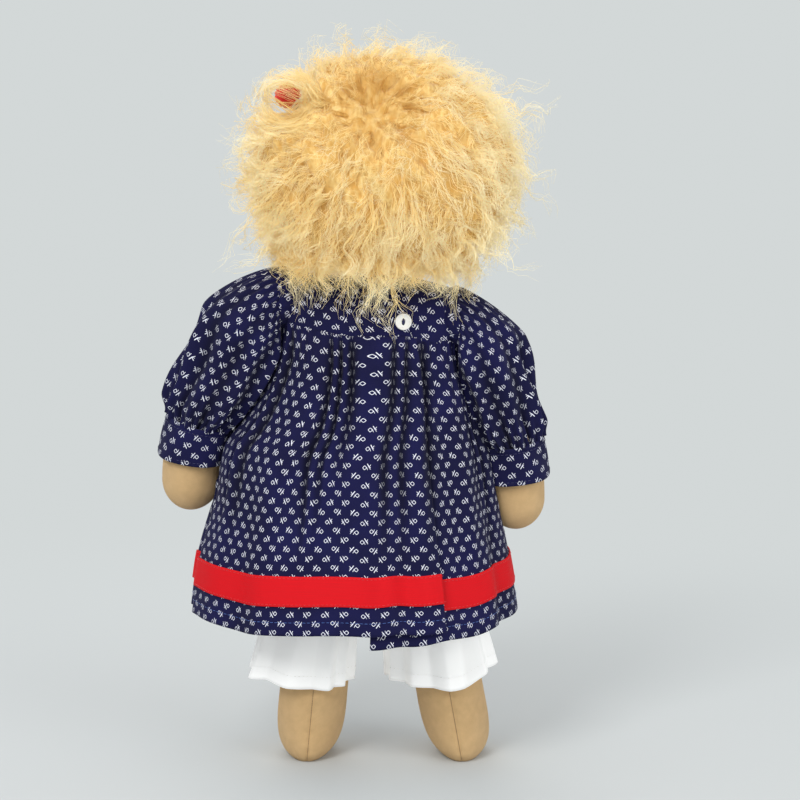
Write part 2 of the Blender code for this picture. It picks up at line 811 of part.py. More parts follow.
def yoke_patch(name, edge_a, edge_b, over, body):
    """One piece of the yoke. The edges give x along it, and over lifts the overlap."""

    def yoke(across, down, offset):
        share = yoke_row(down)
        start = angle_at(edge_a(down), share, offset)
        end = angle_at(edge_b(down), share, offset)
        turn = mix(start, end, across)
        raised = offset
        if over:
            under = angle_at(mix(NECK_EDGE_UNDER, UNDER_EDGE, down), share, offset)
            raised += OVERLAP_LIFT * ease((turn - under) / 0.22 + 1)
        point = torso_point(turn, share, raised, SIDE_SEAT - GAP)
        return point

    grids = cloth(yoke, 12, len(YOKE_ROW_SHARES), YOKE_EASE, YOKE_EASE + CLOTH)
    add_piece(name, *grids, "cotton_print", body)


def make_yokes(body):
    """The front yoke and the two back yokes that overlap at the button."""
    limit = SIDE_SEAT - GAP
    yoke_patch(
        "back_yoke_left",
        lambda down: limit,
        lambda down: mix(NECK_EDGE_OVER, OVER_EDGE, down),
        True,
        body,
    )
    yoke_patch(
        "back_yoke_right",
        lambda down: mix(NECK_EDGE_UNDER, UNDER_EDGE, down),
        lambda down: -limit,
        False,
        body,
    )

    def front(across, down, offset):
        share = yoke_row(down)
        start = angle_at(limit, share, offset)
        turn = -mix(start, angle_at(-limit, share, offset), across)
        return torso_point(turn, share, offset, limit)

    grids = cloth(front, 21, len(YOKE_ROW_SHARES), YOKE_EASE, YOKE_EASE + CLOTH)
    add_piece("front_yoke", *grids, "cotton_print", body)


def make_neckband(body):
    """The bound edge round the neck, open at the back where the yokes overlap."""
    _, half_width, half_depth, height = torso_section(1.0, YOKE_EASE + CLOTH)
    start = math.pi / 2 + math.asin(NECK_EDGE_OVER / -half_width) / 2
    slit = GAP / half_width * 2

    def band(across, down, offset):
        turn = start + slit + (2 * math.pi - 2 * slit) * across
        x = HEAD_OFFSET + (half_width - BAND_THICKNESS + offset) * math.cos(turn)
        y = (half_depth - BAND_THICKNESS + offset) * math.sin(turn)
        return Vector((x, y, height + GAP + OVERLAP_LIFT + BAND_HEIGHT * (1 - down)))

    grids = cloth(band, 26, 2, 0.0, BAND_THICKNESS)
    add_piece("neckband", *grids, "cotton_print", body)


def droop(across, panel):
    """How far the under panel hangs below the rest, as a share, along its width."""
    return 1 - ease(across * 1.25) if panel == "under" else 0.0


def press_in(point, arms, spare):
    """Pushes a point of the skirt away from the arms and cuffs that hang against it."""
    for arm in arms:
        for step in range(19):
            share = mix(PRESS_START_SHARE, 0.99, step / 18)
            round_arm = CLOTH + CLOTH_EASE
            if share < CUFF_START_SHARE:
                round_arm += SLEEVE_PLEAT_DEPTH * 3
            elif share < CUFF_END_SHARE + 0.03:
                round_arm += CUFF_EASE + CUFF_FLARE
            keep = arm.radius(share) + round_arm + ARM_CLEARANCE + spare
            away = point - arm.centre(share)
            if away.length < keep:
                point = arm.centre(share) + away.normalized() * keep
    return point


def skirt_point(turn, down, sag, offset, arms, spare=0.0):
    """A point on the skirt at an angle and a share of the way down."""
    left, right, depth_share = from_table(SKIRT_SIDE_SHARES, down)
    folds = mix(FOLD_START, FOLD_DEPTH, down) * ease(down / 0.06)
    wave = SKIRT_FOLDS * turn + 1.1 * math.sin(3 * turn + 0.4) + 0.5 * math.sin(7 * turn)
    fold = folds * (0.5 + 0.5 * math.cos(wave)) * ease(down / 0.12)
    inset = folds * ease(down / 0.3)
    reach_left = SKIRT_LEFT * left - inset
    reach_right = SKIRT_RIGHT * right - inset
    centre = (reach_left - reach_right) / 2
    half_width = (reach_left + reach_right) / 2 + offset
    half_depth = SKIRT_HALF_DEPTH * depth_share - inset + offset
    power = 2 / mix(TORSO_SQUARENESS, 2.15, ease(down / 0.4))
    x = centre + half_width * signed_power(math.cos(turn), power) + fold * math.cos(turn)
    y = half_depth * signed_power(math.sin(turn), power) + fold * math.sin(turn)
    top = seam_height() - GAP + lean(x * (1 - 0.4 * down)) * (1 - ease(down * 1.3))
    height = mix(top, SKIRT_HEM, down) - PANEL_DROOP * sag * down**1.5
    return press_in(Vector((x, y, height)), arms, spare)


def turn_at(x, down, offset):
    """The angle round the skirt's back at which its plain outline reaches x."""
    left, right, _ = from_table(SKIRT_SIDE_SHARES, down)
    inset = mix(FOLD_START, FOLD_DEPTH, down) * ease(down / 0.06) * ease(down / 0.3)
    centre = (SKIRT_LEFT * left - SKIRT_RIGHT * right) / 2
    half_width = (SKIRT_LEFT * left + SKIRT_RIGHT * right) / 2 - inset + offset
    power = mix(TORSO_SQUARENESS, 2.15, ease(down / 0.4)) / 2
    return math.acos(signed_power((x - centre) / half_width, power))


def skirt_panel(panel, arms, low, high, lift, thick):
    """Gives the surface of one skirt panel, or of the ribbon sewn on it."""
    side_gap = GAP / SKIRT_RIGHT / 2

    def surface(across, part_down, offset):
        down = mix(low, high, part_down)
        under = turn_at(mix(UNDER_EDGE, UNDER_EDGE_HEM, down), down, 0.0)
        over = turn_at(mix(OVER_EDGE, OVER_EDGE_HEM, down), down, 0.0)
        if panel == "front":
            turn = mix(-side_gap, side_gap - math.pi, across)
        elif panel == "over":
            turn = mix(side_gap, over, across)
        else:
            turn = mix(under, math.pi - side_gap, across)
        raised = lift + offset
        if panel == "over":
            raised += PANEL_LIFT * ease((turn - under) / 0.3 + 1)
        sag = droop(across, panel)
        return skirt_point(turn, down, sag, raised, arms, lift + thick - offset)

    return surface


def make_skirt(arms, body):
    """Three gathered panels and the ribbon on each."""
    long_way = seam_height() - SKIRT_HEM
    ribbon_low = 1 - (RIBBON_HEIGHT + RIBBON_WIDTH) / long_way
    ribbon_high = 1 - RIBBON_HEIGHT / long_way
    on_cloth = CLOTH + GAP
    for panel, place, faces in (
        ("front", "front", SKIRT_FOLDS * FOLD_FACES // 2),
        ("over", "back_left", SKIRT_FOLDS * FOLD_FACES // 3),
        ("under", "back_right", SKIRT_FOLDS * FOLD_FACES // 4),
    ):
        surface = skirt_panel(panel, arms, 0.0, 1.0, 0.0, CLOTH)
        grids = cloth(surface, faces + 1, 9, 0.0, CLOTH)
        add_piece("skirt_" + place, *grids, "cotton_print", body)
        surface = skirt_panel(panel, arms, ribbon_low, ribbon_high, on_cloth, RIBBON_THICKNESS)
        grids = cloth(surface, faces + 1, 3, 0.0, RIBBON_THICKNESS)
        add_piece("ribbon_" + place, *grids, "ribbon", body)


def make_button(body):
    """A pearl button with one upright slot, and the thread that holds it through the slot."""
    lift = YOKE_EASE + CLOTH + OVERLAP_LIFT
    turn = angle_at(BUTTON_X, BUTTON_SHARE, lift)
    seat = torso_point(turn, BUTTON_SHARE, lift, SIDE_SEAT)
    beside = torso_point(turn + 0.05, BUTTON_SHARE, lift, SIDE_SEAT)
    above = torso_point(turn, BUTTON_SHARE + 0.03, lift, SIDE_SEAT)
    right = (beside - seat).normalized()
    outward = (above - seat).cross(right).normalized()
    if outward.y < 0:
        outward = -outward
    up = outward.cross(right).normalized()
    if up.z < 0:
        up = -up
    seat = seat + outward * (GAP + CLOTH_EASE)

    def place(a, b, c):
        return seat + right * a + up * b + outward * c

    def ring(half_width, half_height, depth):
        turns = [2 * math.pi * k / 24 for k in range(24)]
        return [place(half_width * math.cos(a), half_height * math.sin(a), depth) for a in turns]

    slot = (BUTTON_SLOT_HALF_WIDTH, BUTTON_SLOT_HALF_HEIGHT)
    dish = BUTTON_RADIUS - BUTTON_RIM
    rings = [
        ring(*slot, 0.0),
        ring(BUTTON_RADIUS * 0.82, BUTTON_RADIUS * 0.82, 0.0),
        ring(BUTTON_RADIUS, BUTTON_RADIUS, BUTTON_THICKNESS * 0.45),
        ring(BUTTON_RADIUS * 0.97, BUTTON_RADIUS * 0.97, BUTTON_THICKNESS),
        ring(dish * 0.95, dish * 0.95, BUTTON_THICKNESS),
        ring(dish * 0.82, dish * 0.82, BUTTON_THICKNESS * 0.72),
        ring(*slot, BUTTON_THICKNESS * 0.72),
    ]
    points, faces = loft(rings)
    faces = faces[:-2]
    last = len(rings) - 1
    for k in range(24):
        after = (k + 1) % 24
        faces.append((k, after, last * 24 + after, last * 24 + k))
    add_piece("button", points, faces, "pearl", body)
    thread = [
        ring(slot[0] - GAP, slot[1] - GAP, -CLOTH_EASE),
        ring(slot[0] - GAP, slot[1] - GAP, BUTTON_THICKNESS * 0.45),
        ring(slot[0] - GAP - GAP, slot[1] - GAP - GAP, BUTTON_THICKNESS * 0.62),
    ]
    add_piece("button_thread", *loft(thread), "white_thread", body)


def seat_point(across, down, offset):
    """A point on the pantaloons' seat, from the waist down to the tops of the legs."""
    height = mix(WAIST_HEIGHT, SEAT_BOTTOM, down)
    share = max((height - TORSO_BOTTOM) / TORSO_HEIGHT, 0.0)
    _, half_width, half_depth, _ = torso_section(share, CLOTH_EASE + offset)
    loose = ease(down * 1.6)
    half_width = max(half_width, mix(half_width, SEAT_HALF_WIDTH + offset, loose))
    half_depth = max(half_depth, mix(half_depth, SEAT_HALF_DEPTH + offset, loose))
    turn = 2 * math.pi * across
    power = 2 / TORSO_SQUARENESS
    x = half_width * signed_power(math.cos(turn), power)
    y = half_depth * signed_power(math.sin(turn), power)
    return Vector((x, y, height))


def make_pantaloons(torso_body, leg_bodies):
    """The seat, the waist elastic in its casing, and two pleated legs."""
    grids = cloth(seat_point, SEAT_SIDES, 5, 0.0, CLOTH, True)
    add_piece("pantaloon_seat", *grids, "white_cotton", torso_body)

    def casing(across, down, offset):
        point = seat_point(across, 0.0, offset)
        return Vector((point.x, point.y, WAIST_HEIGHT + GAP + ELASTIC_WIDTH * (1 - down)))

    grids = cloth(casing, SEAT_SIDES, 2, 0.0, ELASTIC_DEPTH, True)
    add_piece("waist_elastic", *grids, "white_cotton", torso_body)
    for name, side in (("left", 1), ("right", -1)):
        grids = cloth(pant_surface(side), PANT_PLEATS * 4, 5, 0.0, CLOTH, True)
        add_piece("pantaloon_leg_" + name, *grids, "white_cotton", leg_bodies[side])


def pant_surface(side):
    """Gives the surface of one pantaloon leg."""
    top = SEAT_BOTTOM - GAP

    def surface(across, down, offset):
        turn = 2 * math.pi * across
        height = mix(top, PANT_HEM, down)
        share = 1 - height / hip_height()
        half_width = mix(PANT_TOP_HALF, PANT_HEM_HALF_WIDTH, down)
        half_depth = mix(PANT_TOP_HALF, PANT_HEM_HALF_DEPTH, down)
        pleat = PANT_PLEAT_DEPTH * mix(0.12, 1.0, down) * (math.cos(PANT_PLEATS * turn) - 1) / 2
        centre = leg_centre(side, share)
        x = centre + (half_width + pleat + offset) * math.cos(turn)
        y = (half_depth + pleat + offset) * math.sin(turn)
        return Vector((x, y, height))

    return surface


def centre_on_floor(root):
    """Moves the doll so that the origin is under the middle of its outline."""
    bpy.context.view_layer.update()
    low = Vector((math.inf, math.inf, math.inf))
    high = -low
    for piece in bpy.data.objects:
        if piece.type != "MESH" or piece.hide_render:
            continue
        for corner in piece.bound_box:
            place = piece.matrix_world @ Vector(corner)
            low = Vector(map(min, low, place))
            high = Vector(map(max, high, place))
    root.location = (-(low.x + high.x) / 2, -(low.y + high.y) / 2, 0.0)
    print("size in mm:", [round(v * 1000, 1) for v in high - low], "moved by", root.location[:])


def main():
    """Builds the doll, body by body."""
    clear_scene()
    root = make_body("doll", (0.0, 0.0, 0.0))
    left, right = Arm(1, LEFT_REACH, LEFT_PUFF), Arm(-1, RIGHT_REACH, RIGHT_PUFF)
    torso = make_body("torso_body", (0.0, 0.0, TORSO_BOTTOM), root)
    neck = make_body("neck_body", (HEAD_OFFSET, 0.0, neck_base()), torso)
    head = make_body("head_body", (HEAD_OFFSET, 0.0, head_base()), neck)
    arm_bodies = {
        1: make_body("arm_left_body", left.shoulder, torso),
        -1: make_body("arm_right_body", right.shoulder, torso),
    }
    leg_bodies = {
        side: make_body(name, (leg_centre(side, 0.0), 0.0, hip_height()), torso)
        for name, side in (("leg_left_body", 1), ("leg_right_body", -1))
    }
    make_torso(torso)
    make_neck(neck)
    make_head(head)
    make_face(head)
    hair = make_wig(head)
    make_nape(head)
    make_bobble(hair, head)
    for name, arm in (("left", left), ("right", right)):
        make_arm("arm_" + name, arm, arm_bodies[arm.side])
        make_sleeve("sleeve_" + name, arm, arm_bodies[arm.side])
        make_cuff("cuff_" + name, arm, arm_bodies[arm.side])
        make_leg("leg_" + name, arm.side, leg_bodies[arm.side])
    make_yokes(torso)
    make_neckband(torso)
    make_skirt((left, right), torso)
    make_button(torso)
    make_pantaloons(torso, leg_bodies)
    centre_on_floor(root)
    for body in (neck, head, *arm_bodies.values(), *leg_bodies.values()):
        place = Vector(body["pivot"]) + root.location
        print("pivot", body.name, [round(v, 5) for v in place])


main()
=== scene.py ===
"""Finish of a cloth doll: cloth, curls, stitches and a plain studio, round its fixed frame.

Lengths are in metres. The doll faces -Y and its own left is +X. Shapes are worked out about the
middle of the torso and moved to the frame's place when their mesh is made.
"""

import logging
import math
from dataclasses import dataclass, field
from enum import Enum
from typing import Callable, Sequence

import bpy
import numpy as np
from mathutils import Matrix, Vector


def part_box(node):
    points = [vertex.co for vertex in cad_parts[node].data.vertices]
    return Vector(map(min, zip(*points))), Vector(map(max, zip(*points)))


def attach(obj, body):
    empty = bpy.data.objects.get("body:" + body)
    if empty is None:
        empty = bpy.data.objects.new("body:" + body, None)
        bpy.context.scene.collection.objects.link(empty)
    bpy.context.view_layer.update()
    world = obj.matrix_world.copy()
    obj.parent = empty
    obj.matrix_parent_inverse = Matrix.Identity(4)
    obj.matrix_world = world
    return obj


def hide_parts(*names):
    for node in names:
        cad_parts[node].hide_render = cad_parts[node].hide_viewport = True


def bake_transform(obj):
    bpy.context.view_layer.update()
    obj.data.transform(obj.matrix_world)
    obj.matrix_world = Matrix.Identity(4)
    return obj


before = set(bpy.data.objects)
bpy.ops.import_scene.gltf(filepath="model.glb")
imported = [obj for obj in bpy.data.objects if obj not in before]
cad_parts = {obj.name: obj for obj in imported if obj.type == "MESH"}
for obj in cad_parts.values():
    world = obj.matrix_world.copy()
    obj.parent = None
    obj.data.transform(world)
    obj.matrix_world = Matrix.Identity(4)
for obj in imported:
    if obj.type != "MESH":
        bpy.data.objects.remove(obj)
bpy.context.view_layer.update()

Array = np.ndarray
Pair = tuple[float, float]
Triple = tuple[float, float, float]
Edges = tuple[float | None, float | None]
Piece = bpy.types.Object
Material = bpy.types.Material
LOG = logging.getLogger("doll")
TAU = 2 * math.pi


def middle_of(node: str) -> Array:
    """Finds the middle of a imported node.

    Args:
        node: the node's name.

    Returns:
        The middle of its box.
    """
    low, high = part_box(node)
    return (np.array(low) + np.array(high)) / 2


SHIFT = middle_of("torso") * (1, 1, 0)


class Side(Enum):
    """The doll's own left and right, with the sign of X."""

    LEFT = 1
    RIGHT = -1

    @property
    def word(self) -> str:
        """The side's name, as nodes and bodies are named."""
        return self.name.lower()


class Panel(Enum):
    """The three panels of the skirt."""

    FRONT = "front"
    OVER = "back_left"
    UNDER = "back_right"


def ease(value: Array) -> Array:
    """Rises smoothly from 0 to 1."""
    value = np.clip(value, 0.0, 1.0)
    return value * value * (3 - 2 * value)


def mix(a: Array, b: Array, share: Array) -> Array:
    """Goes from a to b."""
    return a + (b - a) * share


def signed_power(value: Array, power: Array) -> Array:
    """Raises a value to a power and keeps its sign."""
    return np.sign(value) * np.abs(value) ** power


def oval(turn: Array, power: Array) -> tuple[Array, Array]:
    """The two coordinates of a squarish oval of size 1."""
    return signed_power(np.cos(turn), power), signed_power(np.sin(turn), power)


def full_turn(count: int) -> Array:
    """Angles evenly round a whole turn."""
    return np.linspace(0, TAU, count + 1)[:-1]


def spot(*parts: Array) -> Array:
    """Puts coordinates side by side on a last axis."""
    return np.stack(np.broadcast_arrays(*parts), axis=-1)


def unit(vectors: Array) -> Array:
    """Scales vectors to length 1."""
    return vectors / np.maximum(np.linalg.norm(vectors, axis=-1, keepdims=True), 1e-12)


@dataclass(frozen=True)
class Shares:
    """A smooth curve through rows of shares.

    Attributes:
        rows: each row is a place, then its values.
    """

    rows: tuple[tuple[float, ...], ...]

    def at(self, place: Array) -> Array:
        """Reads the curve.

        Args:
            place: places along the first column, of any shape.

        Returns:
            The values, on a last axis that is added.
        """
        table = np.array(self.rows)
        x, y = table[:, 0], table[:, 1:]
        place = np.clip(np.asarray(place, float), x[0], x[-1])
        last = len(x) - 2
        row = np.clip(np.searchsorted(x[1:], place), 0, last)
        before, after = np.maximum(row - 1, 0), np.minimum(row + 2, last + 1)
        length = (x[row + 1] - x[row])[..., None]
        t = ((place - x[row]) / (x[row + 1] - x[row]))[..., None]
        slope_in = (y[row + 1] - y[before]) / (x[row + 1] - x[before])[..., None]
        slope_out = (y[after] - y[row]) / (x[after] - x[row])[..., None]
        rise = (2 * t**3 - 3 * t**2 + 1) * y[row] + (3 * t**2 - 2 * t**3) * y[row + 1]
        bend = (t**3 - 2 * t**2 + t) * slope_in + (t**3 - t**2) * slope_out
        return rise + bend * length

    def columns(self, place: Array) -> Array:
        """Reads the curve, one array for each value."""
        return np.moveaxis(self.at(place), -1, 0)


def grid_axes(columns: int, rows: int, wrap: bool = False) -> tuple[Array, Array]:
    """Makes the two parameters of a grid.

    Args:
        columns: points across.
        rows: points down.
        wrap: whether the last column meets the first.

    Returns:
        Arrays of rows by columns that run from 0 to 1 across and down.
    """
    across = np.arange(columns) / (columns if wrap else columns - 1)
    down = np.linspace(0, 1, rows)
    return np.meshgrid(across, down)


def grid_normals(points: Array, wrap: bool) -> Array:
    """Works out the normals of a grid of points.

    Args:
        points: rows by columns by 3.
        wrap: whether the grid closes on itself.

    Returns:
        Unit normals, in one sense all over.
    """
    down = np.gradient(points, axis=0)
    if wrap:
        across = (np.roll(points, -1, axis=1) - np.roll(points, 1, axis=1)) / 2
    else:
        across = np.gradient(points, axis=1)
    return unit(np.cross(across, down))


def arc_uv(points: Array, wrap: bool) -> Array:
    """Gives a grid the coordinates of the flat cloth it was cut from, in metres.

    Args:
        points: rows by columns by 3.
        wrap: whether the grid closes on itself.

    Returns:
        Rows by columns by 2, with one column more where it closes.
    """
    closed = np.concatenate([points, points[:, :1]], axis=1) if wrap else points
    across = np.linalg.norm(np.diff(closed, axis=1), axis=2)
    widest = across[across.sum(axis=1).argmax()]
    u = np.concatenate([[0], np.cumsum(widest)])
    down = np.linalg.norm(np.diff(points, axis=0), axis=2).mean(axis=1)
    v = np.concatenate([[0], np.cumsum(down)])
    return spot(u[None, :], -v[:, None])


def placed(name: str, data: bpy.types.ID) -> Piece:
    """Makes an object of some data and links it to the scene."""
    made = bpy.data.objects.new(name, data)
    bpy.context.scene.collection.objects.link(made)
    return made


@dataclass
class Solid:
    """Points, faces and flat coordinates on their way to a mesh.

    Attributes:
        points: the corners.
        faces: arrays of faces, one for each number of sides.
        uv: flat coordinates for each face corner, in the same order, or None.
    """

    points: Array
    faces: list[Array]
    uv: Array | None = None

    def turned_out(self) -> "Solid":
        """Turns the faces of a closed solid outwards.

        Returns:
            The solid, with its faces reversed if they pointed in.
        """
        volume = 0.0
        for group in self.faces:
            a, b = self.points[group[:, 0]], self.points[group[:, 1:-1]]
            c = self.points[group[:, 2:]]
            volume += (a[:, None] * np.cross(b, c)).sum()
        if volume >= 0:
            return self
        uv, start = self.uv, 0
        if uv is not None:
            uv = uv.copy()
            for group in self.faces:
                part = uv[start : start + group.size].reshape(*group.shape, 2)
                uv[start : start + group.size] = part[:, ::-1].reshape(-1, 2)
                start += group.size
        return Solid(self.points, [group[:, ::-1] for group in self.faces], uv)

    def to_object(self, name: str) -> Piece:
        """Makes the solid a mesh object in the frame's place.

        Args:
            name: the piece's name.

        Returns:
            The new object, smooth shaded.
        """
        loops = np.concatenate([group.ravel() for group in self.faces])
        sizes = np.concatenate([np.full(len(g), g.shape[1]) for g in self.faces])
        mesh = bpy.data.meshes.new(name)
        mesh.vertices.add(len(self.points))
        mesh.loops.add(len(loops))
        mesh.polygons.add(len(sizes))
        mesh.vertices.foreach_set("co", (self.points + SHIFT).astype(np.float32).ravel())
        mesh.loops.foreach_set("vertex_index", loops.astype(np.int32))
        starts = np.concatenate([[0], np.cumsum(sizes)[:-1]]).astype(np.int32)
        mesh.polygons.foreach_set("loop_start", starts)
        if self.uv is not None:
            layer = mesh.uv_layers.new(name="UVMap")
            layer.data.foreach_set("uv", self.uv.astype(np.float32).ravel())
        mesh.update(calc_edges=True)
        mesh.validate()
        mesh.shade_smooth()
        return placed(name, mesh)


def grid_faces(rows: int, columns: int, wrap: bool) -> tuple[Array, Array]:
    """Lists the quads of a grid.

    Args:
        rows: points down.
        columns: points across.
        wrap: whether the last column meets the first.

    Returns:
        The quads, and the same quads as indices into a grid with one column more if it wraps.
    """
    span = columns if wrap else columns - 1
    r, c = np.meshgrid(np.arange(rows - 1), np.arange(span), indexing="ij")
    r, c = r.ravel(), c.ravel()
    corners = [(r, c), (r, c + 1), (r + 1, c + 1), (r + 1, c)]
    quads = np.stack([i * columns + j % columns for i, j in corners], axis=1)
    wide = columns + 1 if wrap else columns
    return quads, np.stack([i * wide + j for i, j in corners], axis=1)


def cloth_shell(points: Array, uv: Array, thickness: float, wrap: bool = False) -> Solid:
    """Gives a grid of points the thickness of its cloth.

    Args:
        points: the outer surface, rows by columns by 3.
        uv: its flat coordinates.
        thickness: how far the inner surface lies below it, or above if negative.
        wrap: whether the grid closes on itself.

    Returns:
        A closed solid.
    """
    rows, columns = points.shape[:2]
    normals = grid_normals(points, wrap)
    centre = points.mean(axis=(0, 1))
    if ((points - centre) * normals).sum() < 0:
        normals = -normals
    inner = points - normals * thickness
    quads, corners = grid_faces(rows, columns, wrap)
    count = rows * columns
    flat = uv.reshape(-1, 2)
    faces = [quads, quads[:, ::-1] + count]
    uvs = [flat[corners].reshape(-1, 2), flat[corners][:, ::-1].reshape(-1, 2)]
    wide = uv.shape[1]
    edges = []
    span = np.arange(columns if wrap else columns - 1)
    for row, turn in ((0, 1), (rows - 1, -1)):
        a, b = row * columns + span, row * columns + (span + 1) % columns
        edges.append((a, b, row * wide + span, row * wide + span + 1, turn))
    if not wrap:
        ladder = np.arange(rows - 1)
        for column, turn in ((0, -1), (columns - 1, 1)):
            a = ladder * columns + column
            edges.append((a, a + columns, a, a + columns, turn))
    for a, b, ua, ub, turn in edges:
        rim = np.stack([b, a, a + count, b + count], axis=1)[:, ::turn]
        place = np.stack([ub, ua, ua, ub], axis=1)[:, ::turn]
        faces.append(rim)
        uvs.append(flat[place].reshape(-1, 2))
    every = Solid(np.concatenate([points.reshape(-1, 3), inner.reshape(-1, 3)]), faces)
    every.uv = np.concatenate(uvs)
    return every.turned_out()


def lofted(rings: Array, uv: Array | None = None) -> Solid:
    """Skins a stack of closed rings and closes both ends.

    Args:
        rings: rows by columns by 3.
        uv: flat coordinates with one column more, or None to measure them.

    Returns:
        A closed solid.
    """
    rows, columns = rings.shape[:2]
    uv = arc_uv(rings, True) if uv is None else uv
    quads, corners = grid_faces(rows, columns, True)
    flat = uv.reshape(-1, 2)
    points = [rings.reshape(-1, 3)]
    faces, uvs = [quads], [flat[corners].reshape(-1, 2)]
    span = np.arange(columns)
    for row, turn in ((0, 1), (rows - 1, -1)):
        pole = rows * columns + (0 if row == 0 else 1)
        points.append(rings[row].mean(axis=0)[None])
        a, b = row * columns + span, row * columns + (span + 1) % columns
        faces.append(np.stack([b, a, np.full(columns, pole)], axis=1)[:, ::turn])
        ua, ub = row * (columns + 1) + span, row * (columns + 1) + span + 1
        corner = np.stack([flat[ub], flat[ua], (flat[ua] + flat[ub]) / 2], axis=1)[:, ::turn]
        uvs.append(corner.reshape(-1, 2))
    return Solid(np.concatenate(points), faces, np.concatenate(uvs)).turned_out()


def tubes(paths: Array, radii: Array, sides: int = 6) -> Solid:
    """Makes threads along paths.

    Args:
        paths: threads by points by 3.
        radii: the radius at each point.
        sides: faces round a thread.

    Returns:
        One solid that holds every thread, closed at both ends.
    """
    count, steps = paths.shape[:2]
    along = unit(np.gradient(paths, axis=1))
    helper = np.where(np.abs(along[..., 2:]) > 0.9, (1.0, 0.0, 0.0), (0.0, 0.0, 1.0))
    first = unit(np.cross(along, helper))
    second = np.cross(along, first)
    turn = np.arange(sides) / sides * TAU
    ring = first[:, :, None] * np.cos(turn)[:, None] + second[:, :, None] * np.sin(turn)[:, None]
    rings = paths[:, :, None] + ring * np.broadcast_to(radii, paths.shape[:2])[..., None, None]
    quads, _ = grid_faces(steps, sides, True)
    base = np.arange(count)[:, None, None] * steps * sides
    faces = (quads[None] + base).reshape(-1, 4)
    lid = np.arange(sides)[None]
    low = lid[:, ::-1] + np.arange(count)[:, None] * steps * sides
    high = lid + np.arange(count)[:, None] * steps * sides + (steps - 1) * sides
    return Solid(rings.reshape(-1, 3), [faces, low, high]).turned_out()


def store(piece: Piece, name: str, values: Array) -> None:
    """Writes a value to each point of a piece.

    Args:
        piece: the object.
        name: the attribute's name.
        values: one value for each point.
    """
    layer = piece.data.attributes.new(name, "FLOAT", "POINT")
    layer.data.foreach_set("value", values.astype(np.float32))


def settle(
    piece: Piece, body: str, dress: Material, nodes: Sequence[str] = ()
) -> Piece:
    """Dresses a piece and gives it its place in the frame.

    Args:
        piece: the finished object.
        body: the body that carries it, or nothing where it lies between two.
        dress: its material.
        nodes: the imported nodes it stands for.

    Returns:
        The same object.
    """
    piece.data.materials.clear()
    piece.data.materials.append(dress)
    if body:
        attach(piece, body)
    if nodes:
        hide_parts(*nodes)
    LOG.info("%s: %d faces", piece.name, len(piece.data.polygons))
    return piece


@dataclass(frozen=True)
class Bend:
    """A straight ramp between two bodies, which no cloth is bent along.

    Attributes:
        first: the body at the ramp's start; not used.
        second: the body at its end; not used.
        zero: a point where the ramp starts; not used.
        slope: how fast it rises along each axis, for each metre; not used.
    """

    first: str
    second: str
    zero: Triple
    slope: Triple

    def apply(self, piece: Piece) -> None:
        """Fixes the piece's place into its mesh, without bending it.

        Args:
            piece: a finished mesh with no parent.
        """
        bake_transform(piece)


class Nodes:
    """Writes a node tree from left to right. Each step returns the socket that it ends in."""

    def __init__(self, tree: bpy.types.NodeTree) -> None:
        """Starts on an empty tree."""
        self.tree = tree
        tree.nodes.clear()
        self.column = 0

    def add(self, kind: str, inputs: dict | None = None, **settings: object) -> bpy.types.Node:
        """Adds a node.

        Args:
            kind: Blender's name for the node.
            inputs: values or sockets by input name or number.
            settings: the node's own properties.

        Returns:
            The node.
        """
        node = self.tree.nodes.new(kind)
        self.column += 1
        node.location = (180 * (self.column // 5), -170 * (self.column % 5))
        for name, value in settings.items():
            setattr(node, name, value)
        for name, value in (inputs or {}).items():
            self.feed(node.inputs[name], value)
        return node

    def out(self, kind: str, inputs: dict | None = None, **settings: object) -> object:
        """Adds a node and gives its first output."""
        return self.add(kind, inputs, **settings).outputs[0]

    def feed(self, socket: bpy.types.NodeSocket, value: object) -> None:
        """Links or sets an input."""
        if isinstance(value, bpy.types.NodeSocket):
            self.tree.links.new(value, socket)
        elif value is not None:
            socket.default_value = value

    def math(self, operation: str, *values: object) -> object:
        """One step of arithmetic."""
        return self.out("ShaderNodeMath", dict(enumerate(values)), operation=operation)

    def times(self, a: object, b: object) -> object:
        """Multiplies."""
        return self.math("MULTIPLY", a, b)

    def plus(self, a: object, b: object) -> object:
        """Adds."""
        return self.math("ADD", a, b)

    def minus(self, a: object, b: object) -> object:
        """Subtracts."""
        return self.math("SUBTRACT", a, b)

    def vector(self, operation: str, a: object, b: object = None, scale: object = None) -> object:
        """One step of vector arithmetic."""
        inputs = {0: a} if b is None else {0: a, 1: b}
        if scale is not None:
            inputs["Scale"] = scale
        node = self.add("ShaderNodeVectorMath", inputs, operation=operation)
        return node.outputs["Value" if operation in ("LENGTH", "DOT_PRODUCT") else "Vector"]

    def away(self, a: object, b: object) -> object:
        """The distance between two places."""
        return self.vector("LENGTH", self.vector("SUBTRACT", a, b))


